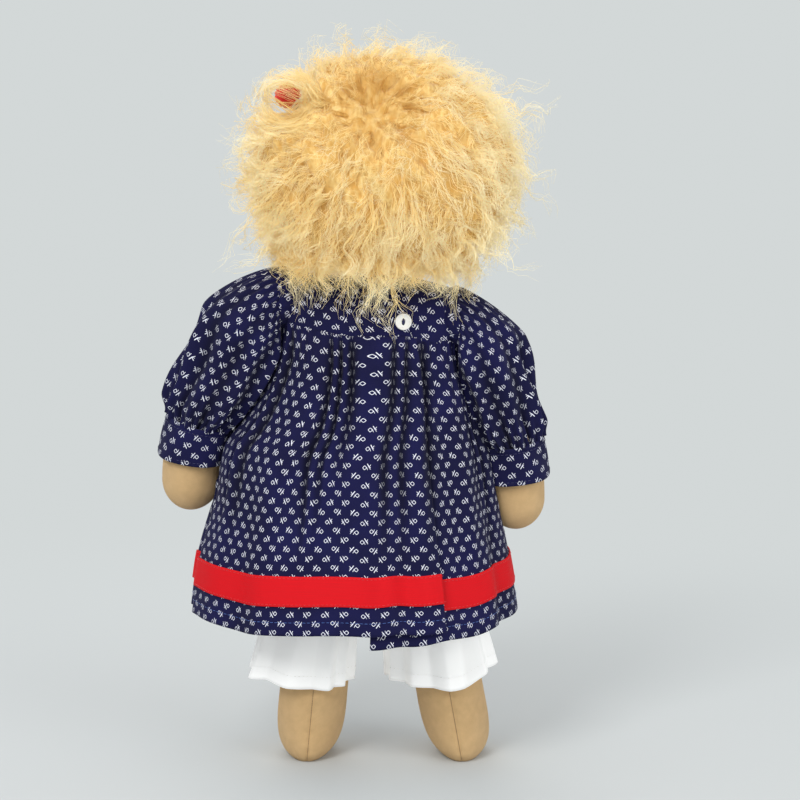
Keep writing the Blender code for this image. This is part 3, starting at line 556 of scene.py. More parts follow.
class Shader(Nodes):
    """Writes one material's nodes."""

    def __init__(self, name: str) -> None:
        """Makes the material, under its name."""
        self.material = bpy.data.materials.new(name)
        self.material.use_nodes = True
        super().__init__(self.material.node_tree)

    def ramp(
        self, value: object, low: float, high: float, a: object = 0.0, b: object = 1.0
    ) -> object:
        """Maps a value smoothly from low and high to a and b."""
        inputs = {"Value": value, "From Min": low, "From Max": high, "To Min": a, "To Max": b}
        return self.out("ShaderNodeMapRange", inputs, interpolation_type="SMOOTHSTEP")

    def blend(self, share: object, a: object, b: object, way: str = "MIX") -> object:
        """Mixes two colours."""
        node = self.add("ShaderNodeMix", data_type="RGBA", blend_type=way)
        for socket, value in zip((node.inputs[0], node.inputs[6], node.inputs[7]), (share, a, b)):
            self.feed(socket, (*value, 1.0) if isinstance(value, tuple) else value)
        return node.outputs[2]

    def noise(self, place: object, scale: float, detail: float = 2.0) -> object:
        """Soft noise from 0 to 1."""
        inputs = {"Vector": place, "Scale": scale, "Detail": detail}
        return self.out("ShaderNodeTexNoise", inputs)

    def where(self) -> object:
        """Object coordinates, in metres."""
        return self.add("ShaderNodeTexCoord").outputs["Object"]

    def flat(self) -> object:
        """Flat cloth coordinates, in millimetres."""
        return self.vector("SCALE", self.out("ShaderNodeUVMap", uv_map="UVMap"), scale=1000.0)

    def carried(self, name: str) -> object:
        """A value that the mesh carries."""
        return self.add("ShaderNodeAttribute", attribute_name=name).outputs["Fac"]

    def xyz(self, place: object) -> tuple[object, object, object]:
        """Splits a vector into its three sockets."""
        node = self.add("ShaderNodeSeparateXYZ", {0: place})
        return node.outputs[0], node.outputs[1], node.outputs[2]

    def bump(self, height: object, distance: float, strength: float = 1.0) -> object:
        """The normal of a surface raised by a height of 0 to 1."""
        inputs = {"Height": height, "Distance": distance, "Strength": strength}
        return self.out("ShaderNodeBump", inputs)

    def finish(
        self, colour: object, rough: object, normal: object = None, **more: object
    ) -> Material:
        """Ends the material in its shader.

        Args:
            colour: base colour or its socket.
            rough: roughness or its socket.
            normal: the bumped normal.
            more: other inputs by name, with _ for a space.

        Returns:
            The material.
        """
        shader = self.add("ShaderNodeBsdfPrincipled")
        every = {"Base Color": colour, "Roughness": rough, "Normal": normal, **more}
        for name, value in every.items():
            value = (*value, 1.0) if isinstance(value, tuple) else value
            self.feed(shader.inputs[name.replace("_", " ")], value)
        self.add("ShaderNodeOutputMaterial", {"Surface": shader.outputs[0]})
        return self.material


def weave_height(s: Shader, place: object, pitch: float) -> object:
    """The relief of a plain weave.

    Args:
        s: the material's writer.
        place: flat coordinates in millimetres.
        pitch: the threads' pitch in millimetres.

    Returns:
        The socket of a height from 0 to 1.
    """
    x, y, _ = s.xyz(place)
    waves = [s.math("SINE", s.times(axis, TAU / 2 / pitch)) for axis in (x, y)]
    over = s.times(waves[0], waves[1])
    return s.math("MULTIPLY_ADD", over, 0.5, 0.5)


@dataclass(frozen=True)
class SprigCotton:
    """Navy cotton with a small sprig in rows that step by half, mirrored from column to column,
    with a near-black painted shade in its folds.

    Attributes:
        pitch: columns' and rows' pitch in millimetres.
    """

    pitch: Pair = (5.3, 10.0)
    ground: Triple = (0.005, 0.0053, 0.049)
    deep: Triple = (0.0028, 0.003, 0.028)
    ink: Triple = (0.88, 0.90, 1.0)
    # The crease colour is the near-black painted shade laid into the folds.
    crease: Triple = (0.001, 0.001, 0.007)

    def stroke(self, s: Shader, place: object, a: Pair, b: Pair, half: float) -> object:
        """Distance to a short stroke of the brush.

        Args:
            s: the material's writer.
            place: coordinates about the sprig's middle, in millimetres.
            a: where the stroke starts.
            b: where it ends.
            half: half its width.

        Returns:
            The distance's socket, below 0 on the stroke.
        """
        run = (b[0] - a[0], b[1] - a[1], 0.0)
        away = s.vector("SUBTRACT", place, (*a, 0.0))
        along = s.math("DIVIDE", s.vector("DOT_PRODUCT", away, run), run[0] ** 2 + run[1] ** 2)
        along = s.math("MINIMUM", s.math("MAXIMUM", along, 0.0), 1.0)
        reach = s.vector("SUBTRACT", away, s.vector("SCALE", run, scale=along))
        return s.minus(s.vector("LENGTH", reach), half)

    def sprig(self, s: Shader, place: object) -> object:
        """Draws the print.

        Args:
            s: the material's writer.
            place: flat coordinates in millimetres.

        Returns:
            The socket of a share of ink from 0 to 1.
        """
        x, y, _ = s.xyz(place)
        across = s.math("DIVIDE", x, self.pitch[0])
        column = s.math("FLOOR", across)
        local_x = s.times(s.minus(s.minus(across, column), 0.5), self.pitch[0])
        half_step = s.times(s.math("FLOORED_MODULO", column, 2.0), 0.5)
        up = s.plus(s.math("DIVIDE", y, self.pitch[1]), half_step)
        local_y = s.times(s.minus(s.math("FRACT", up), 0.5), self.pitch[1])
        turn = s.math("FLOORED_MODULO", column, 4.0)
        middle = s.math("COMPARE", turn, 1.5, 0.6)
        mirror_x = s.math("MULTIPLY_ADD", middle, 2.0, -1.0)
        mirror_y = s.math("MULTIPLY_ADD", s.math("GREATER_THAN", turn, 1.5), 2.0, -1.0)
        px, py = s.times(local_x, mirror_x), s.times(local_y, mirror_y)
        p = s.out("ShaderNodeCombineXYZ", {0: px, 1: py})
        p = s.vector("SCALE", p, scale=0.9)
        flower = s.vector("SUBTRACT", p, (0.98, -0.42, 0.0))
        fx, fy, _ = s.xyz(s.vector("ABSOLUTE", flower))
        powers = [s.math("POWER", axis, 1.35) for axis in (fx, fy)]
        around = s.math("POWER", s.plus(powers[0], powers[1]), 1 / 1.35)
        ring = s.minus(s.math("ABSOLUTE", s.minus(around, 0.9)), 0.13)
        strokes = (
            ((-0.55, -1.35), (0.05, -0.1), 0.1),
            ((-1.95, -1.05), (-0.35, 1.2), 0.1),
            ((-1.3, -0.15), (-0.25, 1.4), 0.17),
            ((-1.85, 1.05), (-1.25, 0.15), 0.12),
            ((-1.9, -0.1), (-1.35, -0.35), 0.1),
        )
        nearest = ring
        for a, b, half in strokes:
            nearest = s.math("MINIMUM", nearest, self.stroke(s, p, a, b, half))
        return s.ramp(nearest, 0.09, -0.06)

    def material(self, name: str = "cotton_print") -> Material:
        """Makes the finish.

        Args:
            name: the material's name.

        Returns:
            The material.
        """
        s = Shader(name)
        place = s.flat()
        where = s.where()
        wear = s.noise(where, 28.0, 3.0)
        fleck = s.noise(place, 1.4, 2.0)
        ground = s.blend(s.ramp(wear, 0.35, 0.7), self.deep, self.ground)
        threads = weave_height(s, place, 0.32)
        ground = s.blend(s.times(threads, 0.14), ground, (0.03, 0.028, 0.15))
        ink = s.times(self.sprig(s, place), s.ramp(fleck, 0.2, 0.55, 0.72, 0.98))
        # Painted shade: the cloth goes towards the near-black crease colour where the mesh marks a
        # fold.
        painted_fold_shade = s.carried("painted_fold_shade")
        height = s.plus(threads, s.times(wear, 0.5))
        normal = s.bump(height, 0.00012, 0.6)
        colour = s.blend(s.times(painted_fold_shade, 0.85), s.blend(ink, ground, self.ink), self.crease)
        return s.finish(
            colour, s.ramp(fleck, 0.2, 0.8, 0.78, 0.92), normal,
            Sheen_Weight=0.03, Sheen_Roughness=0.5, Specular_IOR_Level=0.18,
        )


@dataclass(frozen=True)
class PlainCotton:
    """Plain woven cotton, white or dyed, with a faint painted glow of its own colour."""

    colour: Triple = (0.95, 0.95, 0.935)
    shade: Triple = (0.9, 0.9, 0.885)
    pitch: float = 0.3

    def material(self, name: str) -> Material:
        """Makes the finish, under a name."""
        s = Shader(name)
        place = s.flat()
        where = s.where()
        threads = weave_height(s, place, self.pitch)
        slub = s.noise(s.vector("MULTIPLY", place, (0.25, 3.0, 1.0)), 1.0, 2.0)
        tone = s.times(s.plus(threads, slub), 0.5)
        soft = s.noise(where, 60.0, 3.0)
        height = s.plus(s.times(threads, 0.6), s.times(soft, 1.2))
        colour = s.blend(s.ramp(tone, 0.2, 0.75), self.shade, self.colour)
        return s.finish(
            colour, 0.88, s.bump(height, 0.00022, 0.6), Sheen_Weight=0.15, Specular_IOR_Level=0.25,
            # Painted light: a faint glow of the cloth's own colour stands in for light through it
            # and bounced from the floor.
            Emission_Color=self.colour, Emission_Strength=0.17,
        )


@dataclass(frozen=True)
class Jersey:
    """Fine cotton jersey over a firm filling, with slanting columns of stitches."""

    colour: Triple = (0.71, 0.473, 0.23)
    shade: Triple = (0.53, 0.34, 0.153)
    blush: Triple = (0.62, 0.22, 0.13)
    columns: float = 0.62
    slant: float = 0.35

    def material(self, name: str, cheeks: Sequence[Triple] = ()) -> Material:
        """Makes the finish.

        Args:
            name: the material's name.
            cheeks: middles of patches of blush, in the frame.

        Returns:
            The material.
        """
        s = Shader(name)
        where = s.where()
        x, y, _ = s.xyz(s.flat())
        lean = s.plus(x, s.times(y, self.slant))
        rib = s.math("ABSOLUTE", s.math("SINE", s.times(lean, TAU / 2 / self.columns)))
        loop = s.math("SINE", s.plus(s.times(y, TAU / 0.55), s.times(rib, 2.0)))
        knit = s.math("MULTIPLY_ADD", loop, 0.18, s.times(rib, 0.7))
        mottle = s.noise(where, 220.0, 3.0)
        broad = s.noise(where, 26.0, 2.0)
        tone = s.plus(s.times(knit, 0.55), s.times(mottle, 0.45))
        colour = s.blend(s.ramp(tone, 0.15, 0.8), self.shade, self.colour)
        colour = s.blend(s.ramp(broad, 0.3, 0.8, 0.0, 0.18), colour, (0.72, 0.53, 0.3))
        for middle in cheeks:
            away = s.away(where, middle)
            colour = s.blend(s.ramp(away, 0.0105, 0.001, 0.0, 0.35), colour, self.blush)
        height = s.plus(s.times(knit, 0.8), s.times(broad, 2.5))
        return s.finish(
            colour, 0.93, s.bump(height, 0.0004, 0.8), Sheen_Weight=0.12, Sheen_Roughness=0.6,
            Specular_IOR_Level=0.12,
        )


@dataclass(frozen=True)
class Ribbon:
    """Red woven ribbon with fine cross ribs and a firm selvedge."""

    colour: Triple = (0.77, 0.006, 0.013)
    shade: Triple = (0.52, 0.003, 0.007)
    width: float = 16.0

    def material(self) -> Material:
        """Makes the finish."""
        s = Shader("ribbon_weave")
        x, y, _ = s.xyz(s.flat())
        rib = s.math("MULTIPLY_ADD", s.math("SINE", s.times(y, TAU / 0.42)), 0.5, 0.5)
        warp = s.math("MULTIPLY_ADD", s.math("SINE", s.times(x, TAU / 0.3)), 0.5, 0.5)
        threads = s.math("MULTIPLY_ADD", warp, 0.35, s.times(rib, 0.65))
        edge = s.math("ABSOLUTE", s.plus(y, self.width / 2))
        selvedge = s.ramp(edge, self.width / 2 - 0.9, self.width / 2 - 0.5)
        streak = s.noise(s.vector("MULTIPLY", s.flat(), (0.05, 2.5, 1.0)), 1.0, 2.0)
        tone = s.math("MULTIPLY_ADD", threads, 0.6, s.times(streak, 0.4))
        colour = s.blend(s.ramp(tone, 0.15, 0.8), self.shade, self.colour)
        colour = s.blend(s.times(selvedge, 0.35), colour, (0.8, 0.02, 0.02))
        height = s.plus(threads, selvedge)
        rough = s.ramp(streak, 0.3, 0.7, 0.6, 0.75)
        return s.finish(colour, rough, s.bump(height, 0.00014, 0.7), Specular_IOR_Level=0.15)


@dataclass(frozen=True)
class Mohair:
    """Loose golden mohair, deep at the roots and straw at the tips, with painted shade at the
    whorl, a painted highlight on the outer strands and a faint painted glow.
    """

    root: Triple = (0.66, 0.37, 0.085)
    body: Triple = (0.98, 0.74, 0.31)
    tip: Triple = (1.0, 0.89, 0.57)
    # The whorl is where the painted shade centres; the middle is where the painted highlight grows
    # away from.
    whorl: Triple = (-0.013, 0.049, 0.376)
    middle: Triple = (-0.004, 0.0, 0.33)

    def material(self) -> Material:
        """Makes the finish of the strands, from the attributes they carry."""
        s = Shader("mohair")
        along = s.carried("along")
        strand = s.carried("strand")
        patch = s.noise(s.where(), 45.0, 2.0)
        tone = s.plus(s.times(along, 0.62), s.times(strand, 0.3))
        tone = s.plus(tone, s.times(s.minus(patch, 0.5), 0.8))
        # Painted shade: the strands darken near the whorl, where the locks part.
        away = s.away(s.where(), self.whorl)
        tone = s.minus(tone, s.ramp(away, 0.038, 0.004, 0.0, 0.8))
        # Painted highlight: the strands far out from the middle of the curls are lighter.
        outer = s.away(s.where(), self.middle)
        tone = s.plus(tone, s.ramp(outer, 0.062, 0.09, 0.0, 0.22))
        colour = s.blend(s.ramp(tone, -0.05, 0.45), self.root, self.body)
        colour = s.blend(s.ramp(tone, 0.42, 0.95), colour, self.tip)
        # Painted light: the strands glow faintly in their own colour.
        return s.finish(
            colour, 0.5, Specular_IOR_Level=0.45, Emission_Color=colour, Emission_Strength=0.09
        )

    def coat(self) -> Material:
        """Makes the finish of the dense wool under the strands."""
        s = Shader("mohair_coat")
        where = s.where()
        fibre = s.noise(s.vector("MULTIPLY", where, (1.0, 1.0, 0.35)), 420.0, 4.0)
        patch = s.noise(where, 38.0, 3.0)
        colour = s.blend(s.ramp(fibre, 0.3, 0.75), self.root, self.body)
        colour = s.blend(s.ramp(patch, 0.35, 0.7, 0.6, 0.0), colour, self.root)
        height = s.plus(fibre, s.times(patch, 2.0))
        return s.finish(colour, 0.9, s.bump(height, 0.0012, 0.9), Sheen_Weight=0.3)


@dataclass(frozen=True)
class Yarn:
    """Thread or yarn of one dye, with a twist."""

    colour: Triple
    shade: Triple
    rough: float = 0.75
    grain: float = 900.0

    def material(self, name: str) -> Material:
        """Makes the finish, under a name."""
        s = Shader(name)
        where = s.where()
        fibre = s.noise(s.vector("MULTIPLY", where, (1.0, 1.0, 2.2)), self.grain, 3.0)
        broad = s.noise(where, self.grain / 6, 2.0)
        tone = s.math("MULTIPLY_ADD", fibre, 0.6, s.times(broad, 0.4))
        colour = s.blend(s.ramp(tone, 0.3, 0.65), self.shade, self.colour)
        return s.finish(colour, self.rough, s.bump(fibre, 0.0002, 0.7), Sheen_Weight=0.15)


@dataclass(frozen=True)
class Pearl:
    """Pearly shell or its cast look-alike, cloudy and glossy."""

    colour: Triple = (0.88, 0.87, 0.83)
    cloud: Triple = (0.76, 0.76, 0.74)

    def material(self) -> Material:
        """Makes the finish."""
        s = Shader("pearl_button")
        where = s.where()
        warp = s.noise(where, 260.0, 3.0)
        bands = s.math("SINE", s.times(warp, 24.0))
        tone = s.math("MULTIPLY_ADD", bands, 0.5, 0.5)
        colour = s.blend(s.times(tone, 0.5), self.colour, self.cloud)
        return s.finish(
            colour, s.ramp(warp, 0.3, 0.7, 0.16, 0.3), s.bump(warp, 0.0001, 0.3), Coat_Weight=0.5,
            Coat_Roughness=0.08,
        )


class Finishes:
    """Every finish of the doll, made once."""

    def __init__(self) -> None:
        """Makes the materials."""
        self.print = SprigCotton().material()
        self.white = PlainCotton().material("white_cotton")
        self.jersey = Jersey().material("jersey")
        self.ribbon = Ribbon().material()
        self.mohair = Mohair().material()
        self.coat = Mohair().coat()
        self.cap = Yarn((0.74, 0.46, 0.12), (0.5, 0.28, 0.06)).material("cap_knit")
        self.red = Yarn((0.85, 0.03, 0.022), (0.5, 0.008, 0.008)).material("red_yarn")
        self.white_thread = Yarn((0.86, 0.86, 0.84), (0.6, 0.6, 0.6), 0.6).material("white_thread")
        self.tan_thread = Yarn((0.34, 0.2, 0.09), (0.2, 0.11, 0.045)).material("tan_thread")
        self.blue_thread = Yarn((0.05, 0.13, 0.42), (0.02, 0.06, 0.25), 0.5).material("blue_thread")
        navy = Yarn((0.02, 0.02, 0.1), (0.008, 0.008, 0.05), 0.6)
        self.navy_thread = navy.material("navy_thread")
        self.red_thread = Yarn((0.7, 0.01, 0.02), (0.42, 0.004, 0.01), 0.5).material("red_thread")
        self.eye = Yarn((0.06, 0.14, 0.3), (0.02, 0.05, 0.14), 0.45).material("eye_thread")
        self.mouth = Yarn((0.55, 0.07, 0.06), (0.34, 0.03, 0.03), 0.5).material("mouth_thread")
        self.pearl = Pearl().material()


class GuideTree:
    """Geometry nodes that make a mesh along guide lines."""

    def __init__(self, name: str, **sockets: str) -> None:
        """Opens the tree.

        Args:
            name: its name.
            sockets: the kind of each of its values, by name.
        """
        self.tree = bpy.data.node_groups.new(name, "GeometryNodeTree")
        face = self.tree.interface
        face.new_socket("Lines", in_out="INPUT", socket_type="NodeSocketGeometry")
        self.keys = {}
        for key, kind in sockets.items():
            made = face.new_socket(key, in_out="INPUT", socket_type="NodeSocket" + kind)
            self.keys[key] = made.identifier
        face.new_socket("Mesh", in_out="OUTPUT", socket_type="NodeSocketGeometry")
        self.nodes = Nodes(self.tree)
        self.given = self.nodes.add("NodeGroupInput").outputs
        self.curve = self.nodes.out("GeometryNodeMeshToCurve", {"Mesh": self.given["Lines"]})

    def close(self, made: object) -> None:
        """Ends the tree: smooths what was made and dyes it."""
        n = self.nodes
        real = n.out("GeometryNodeRealizeInstances", {0: made})
        smooth = n.out("GeometryNodeSetShadeSmooth", {0: real})
        dyed = n.out("GeometryNodeSetMaterial", {"Geometry": smooth, "Material": self.given["Dye"]})
        n.add("NodeGroupOutput", {0: dyed})

    def grow(self, name: str, lines: Sequence[Array], **values: object) -> Piece:
        """Runs the tree along lines and keeps the result as a plain mesh.

        Args:
            name: the piece's name.
            lines: paths of points.
            values: the tree's values, in lower case.

        Returns:
            The piece.
        """
        guide = line_object(name + "_lines", lines)
        modifier = guide.modifiers.new("grow", "NODES")
        modifier.node_group = self.tree
        for key, value in values.items():
            modifier[self.keys[key.capitalize()]] = value
        bpy.context.view_layer.update()
        ready = guide.evaluated_get(bpy.context.evaluated_depsgraph_get())
        mesh = bpy.data.meshes.new_from_object(ready)
        mesh.name = name
        guide.modifiers.remove(modifier)
        bpy.data.objects.remove(guide)
        return placed(name, mesh)


@dataclass(frozen=True)
class Stitch:
    """A kind of stitch: how far it is from one to the next, its length and its thread's radius."""

    pitch: float
    length: float
    radius: float


HEM_STITCH = Stitch(0.0026, 0.002, 0.00017)
RIBBON_STITCH = Stitch(0.0024, 0.0018, 0.00015)
CUFF_STITCH = Stitch(0.0024, 0.0018, 0.00016)
LEG_STITCH = Stitch(0.0014, 0.0016, 0.0002)
PANTALOON_STITCH = Stitch(0.0023, 0.0017, 0.00014)


class StitchTree(GuideTree):
    """Geometry nodes that lay stitches along lines."""

    def __init__(self) -> None:
        """Builds the tree once for every seam."""
        super().__init__(
            "stitches_along_lines", Pitch="Float", Length="Float", Radius="Float", Dye="Material"
        )
        n, given = self.nodes, self.given
        spacing = {"Curve": self.curve, "Length": given["Pitch"]}
        spaced = n.out("GeometryNodeResampleCurve", spacing, mode="LENGTH")
        tangent = n.out("GeometryNodeInputTangent")
        turn = n.out("FunctionNodeAlignRotationToVector", {"Vector": tangent}, axis="Z")
        half = n.times(given["Length"], 0.5)
        size = n.out("ShaderNodeCombineXYZ", {0: given["Radius"], 1: given["Radius"], 2: half})
        ball = n.out("GeometryNodeMeshUVSphere", {"Segments": 8, "Rings": 6, "Radius": 1.0})
        self.close(n.out(
            "GeometryNodeInstanceOnPoints",
            {"Points": spaced, "Instance": ball, "Rotation": turn, "Scale": size},
        ))

    def sew(self, name: str, lines: Sequence[Array], kind: Stitch, dye: Material) -> Piece:
        """Sews along lines.

        Args:
            name: the piece's name.
            lines: paths of points.
            kind: the kind of stitch.
            dye: the thread's material.

        Returns:
            The stitches as one plain mesh object.
        """
        return self.grow(name, lines, **vars(kind), dye=dye)


def line_object(name: str, lines: Sequence[Array]) -> Piece:
    """Makes paths of points into an object of plain edges.

    Args:
        name: the object's name.
        lines: paths of points.

    Returns:
        The object, in the frame's place.
    """
    points = np.concatenate(lines) + SHIFT
    edges, base = [], 0
    for line in lines:
        edges += [(base + k, base + k + 1) for k in range(len(line) - 1)]
        base += len(line)
    mesh = bpy.data.meshes.new(name)
    mesh.from_pydata(points.tolist(), edges, [])
    return placed(name, mesh)


@dataclass
class Torso:
    """The stuffed torso, which the yokes and the skirt hang on."""

    bottom: float = 0.152
    height: float = 0.120
    half_width: float = 0.0465
    half_depth: float = 0.0265
    side_seat: float = 0.0487
    squareness: float = 2.6
    slope: float = 0.17
    flat: float = 0.016
    head_offset: float = -0.004
    slack: float = 0.0012
    shares: Shares = Shares((
        (0.0, 0.86, 0.035), (0.07, 0.93, 0.26), (0.16, 0.975, 0.61), (0.26, 1.0, 0.87),
        (0.38, 0.99, 0.985), (0.52, 0.98, 1.0), (0.66, 0.985, 0.98), (0.767, 1.015, 0.955),
        (0.83, 1.07, 0.92), (0.89, 1.09, 0.87), (0.95, 1.07, 0.76), (0.985, 0.88, 0.66),
        (1.0, 0.37, 0.57),
    ))

    def lean(self, x: Array) -> Array:
        """How far the shoulder line rises towards the doll's left."""
        out = np.abs(x - self.head_offset) - self.flat
        return np.sign(x - self.head_offset) * np.maximum(out, 0.0) * self.slope

    def section(self, share: Array, offset: Array) -> tuple[Array, Array, Array, Array]:
        """Gives the centre, half width, half depth and height at a share of the height."""
        values = self.shares.at(share)
        top = ease((share - 0.86) / 0.14)
        sideways = offset * (1 - 0.6 * top)
        wide = self.half_width * values[..., 0] + sideways
        deep = self.half_depth * values[..., 1] + sideways
        return self.head_offset * top, wide, deep, self.bottom + self.height * share + offset * top

    def point(
        self, angle: Array, share: Array, offset: Array = 0.0, limit: float | None = None
    ) -> Array:
        """Points on the torso, or off it by an offset.

        Args:
            angle: the turn round the torso.
            share: the share of its height.
            offset: how far off the surface.
            limit: how far they may lie to each side, or None for the arms' seats.

        Returns:
            The points.
        """
        centre, wide, deep, height = self.section(share, offset)
        limit = self.side_seat if limit is None else limit
        across, back = oval(angle, 2 / self.squareness)
        x = np.clip(centre + wide * across, -limit, limit)
        raised = ease((share - 0.35) / 0.4)
        return spot(x, deep * back, height + self.lean(x) * raised)

    def angle_at(self, x: Array, share: Array, offset: Array) -> Array:
        """The turn round the back at which the outline reaches x."""
        centre, wide, _, _ = self.section(share, offset)
        reach = np.clip((x - centre) / wide, -1.0, 1.0)
        angle = np.arccos(signed_power(reach, self.squareness / 2))
        return np.clip(angle, 0.004, math.pi - 0.004)

    def build(self, finishes: Finishes) -> None:
        """Makes the torso, with the seam at the hips.

        Args:
            finishes: the doll's materials.
        """
        across, down = grid_axes(96, 56, True)
        share = 1 - np.cos(down * math.pi / 2) ** 1.2
        rings = self.point(across * TAU, share, -self.slack * ease((0.97 - share) / 0.1))
        piece = lofted(rings).to_object("torso_jersey")
        settle(piece, "torso", finishes.jersey, ["torso"])


@dataclass
class HeadForm:
    """The neck, the firm round head and its plain stitched face."""

    torso: Torso
    neck_height: float = 0.0125
    neck_radius: float = 0.0135
    half_sizes: Triple = (0.0465, 0.0455, 0.0475)
    back_shift: float = -0.002
    gap: float = 0.0003
    sink: float = 0.0012
    neck_shares: Shares = Shares(((0.0, 1.0), (0.3, 0.93), (0.55, 0.78), (0.8, 0.95), (1.0, 1.08)))
    eye_spacing: float = 0.033
    eye_drop: float = 0.003
    mouth_drop: float = 0.019
    thread: float = 0.00024
    mouth_thread: float = 0.00034
    tie_thread: float = 0.0003
    tie_turns: int = 4
    tie_height: float = 0.0022
    waist_share: float = 0.55
    nose_half: Pair = (0.0042, 0.0038)
    nose_rise: float = 0.0022
    nose_drop: float = 0.0085
    cheek: Pair = (0.0205, -0.0125)
    eye_half: Pair = (0.0019, 0.0031)
    mouth_half: float = 0.006

    @property
    def neck_base(self) -> float:
        """Height of the torso's top."""
        return self.torso.bottom + self.torso.height + self.gap

    @property
    def base(self) -> float:
        """Height of the top of the neck."""
        return self.neck_base + self.neck_height

    @property
    def centre(self) -> Array:
        """The middle of the head."""
        rise = self.gap + self.half_sizes[2] - self.sink
        return np.array([self.torso.head_offset, self.back_shift, self.base + rise])

    def point(self, direction: Array, offset: Array = 0.0) -> Array:
        """Points on the head, or off it, in directions from its middle."""
        sizes = np.array(self.half_sizes) + np.asarray(offset)[..., None]
        spread = np.sqrt(((direction / sizes) ** 2).sum(axis=-1, keepdims=True))
        return self.centre + direction / spread

    def nose(self, points: Array) -> Array:
        """Raises a small soft nose under the jersey."""
        away = points - self.centre - (0.0, -self.half_sizes[1], -self.nose_drop)
        wide, tall = self.nose_half
        near = np.exp(-((away[..., 0] / wide) ** 2 + (away[..., 2] / tall) ** 2))
        lift = self.nose_rise * near * (away[..., 1] < 0.02)
        return points - spot(0 * lift, lift, 0 * lift)

    def on_face(self, x: Array, z: Array, lift: float) -> Array:
        """Points on the front of the head at x and z from its middle."""
        flat = 1 - (x / self.half_sizes[0]) ** 2 - (z / self.half_sizes[2]) ** 2
        y = -self.half_sizes[1] * np.sqrt(np.maximum(flat, 0.0)) - lift
        return self.centre + spot(x, y, z)

    def build(self, finishes: Finishes) -> None:
        """Makes the neck, its tie, the head and the face.

        Args:
            finishes: the doll's materials.
        """
        across, down = grid_axes(128, 96, True)
        polar = math.pi * mix(0.01, 0.97, down)
        turn = across * TAU - math.pi / 2
        flat = np.sin(polar)
        direction = spot(flat * np.cos(turn), flat * np.sin(turn), np.cos(polar))
        points = self.nose(self.point(direction))
        points[..., 2] = np.maximum(points[..., 2], self.base + self.gap)
        out, low = (np.array(value) for value in self.cheek)
        cheeks = [tuple(self.on_face(sign * out, low, 0.0) + SHIFT) for sign in (1, -1)]
        skin = Jersey().material("face_jersey", cheeks)
        piece = lofted(points).to_object("head_jersey")
        settle(piece, "head", skin, ["head"])
        self.build_neck(finishes)
        self.build_face(finishes)

    def build_neck(self, finishes: Finishes) -> None:
        """Makes the bound neck."""
        across, down = grid_axes(64, 24, True)
        radius = self.neck_radius * self.neck_shares.at(down)[..., 0]
        turn = across * TAU
        x = self.torso.head_offset + radius * np.cos(turn)
        z = mix(self.neck_base - 0.001, self.base + 0.0012, down)
        piece = lofted(spot(x, radius * np.sin(turn), z)).to_object("neck_jersey")
        settle(piece, "", finishes.jersey, ["neck"])
        ramp = Bend("neck", "head", (0.0, 0.0, self.neck_base), (0.0, 0.0, 1 / self.neck_height))
        ramp.apply(piece)
        steps = np.linspace(0, 1, 160)
        radius = self.neck_radius * self.neck_shares.at(np.array(self.waist_share))[0]
        radius = radius + self.tie_thread
        turn = steps * TAU * self.tie_turns
        middle = self.neck_base + self.neck_height * self.waist_share
        middle = middle + (steps - 0.5) * self.tie_height
        path = spot(self.torso.head_offset + radius * np.cos(turn), radius * np.sin(turn), middle)
        tie = tubes(path[None], np.array(self.tie_thread)).to_object("neck_binding")
        settle(tie, "neck", finishes.white_thread, ["neck_tie"])

    def build_face(self, finishes: Finishes) -> None:
        """Stitches two eyes and a mouth."""
        steps = np.linspace(-1, 1, 9)
        for side in Side:
            paths = []
            for k in range(11):
                across = (k / 10 * 2 - 1) * 0.97
                reach = self.eye_half[1] * math.sqrt(1 - across * across) + 0.0002
                x = side.value * self.eye_spacing / 2 + across * self.eye_half[0]
                lift = 0.00025 + 0.0005 * (1 - steps**2) ** 0.5
                path = self.on_face(np.full(9, x), steps * reach - self.eye_drop, 0.0)
                paths.append(path - (0, 1, 0) * lift[:, None])
            threads = tubes(np.array(paths), np.array(self.thread))
            piece = threads.to_object("eye_stitches_" + side.word)
            settle(piece, "head", finishes.eye, ["eye_" + side.word])
        strokes = []
        for k in range(6):
            along = np.linspace(k - 0.12, k + 1.12, 7) / 6 * 2 - 1
            z = -self.mouth_drop - 0.0012 * (1 - along**2) + 0.0006
            lift = 0.0003 + 0.0003 * np.sin(np.linspace(0, math.pi, 7))
            stroke = self.on_face(along * self.mouth_half, z, 0.0)
            strokes.append(stroke - (0, 1, 0) * lift[:, None])
        piece = tubes(np.array(strokes), np.array(self.mouth_thread)).to_object("mouth_stitches")
        settle(piece, "head", finishes.mouth, ["mouth"])


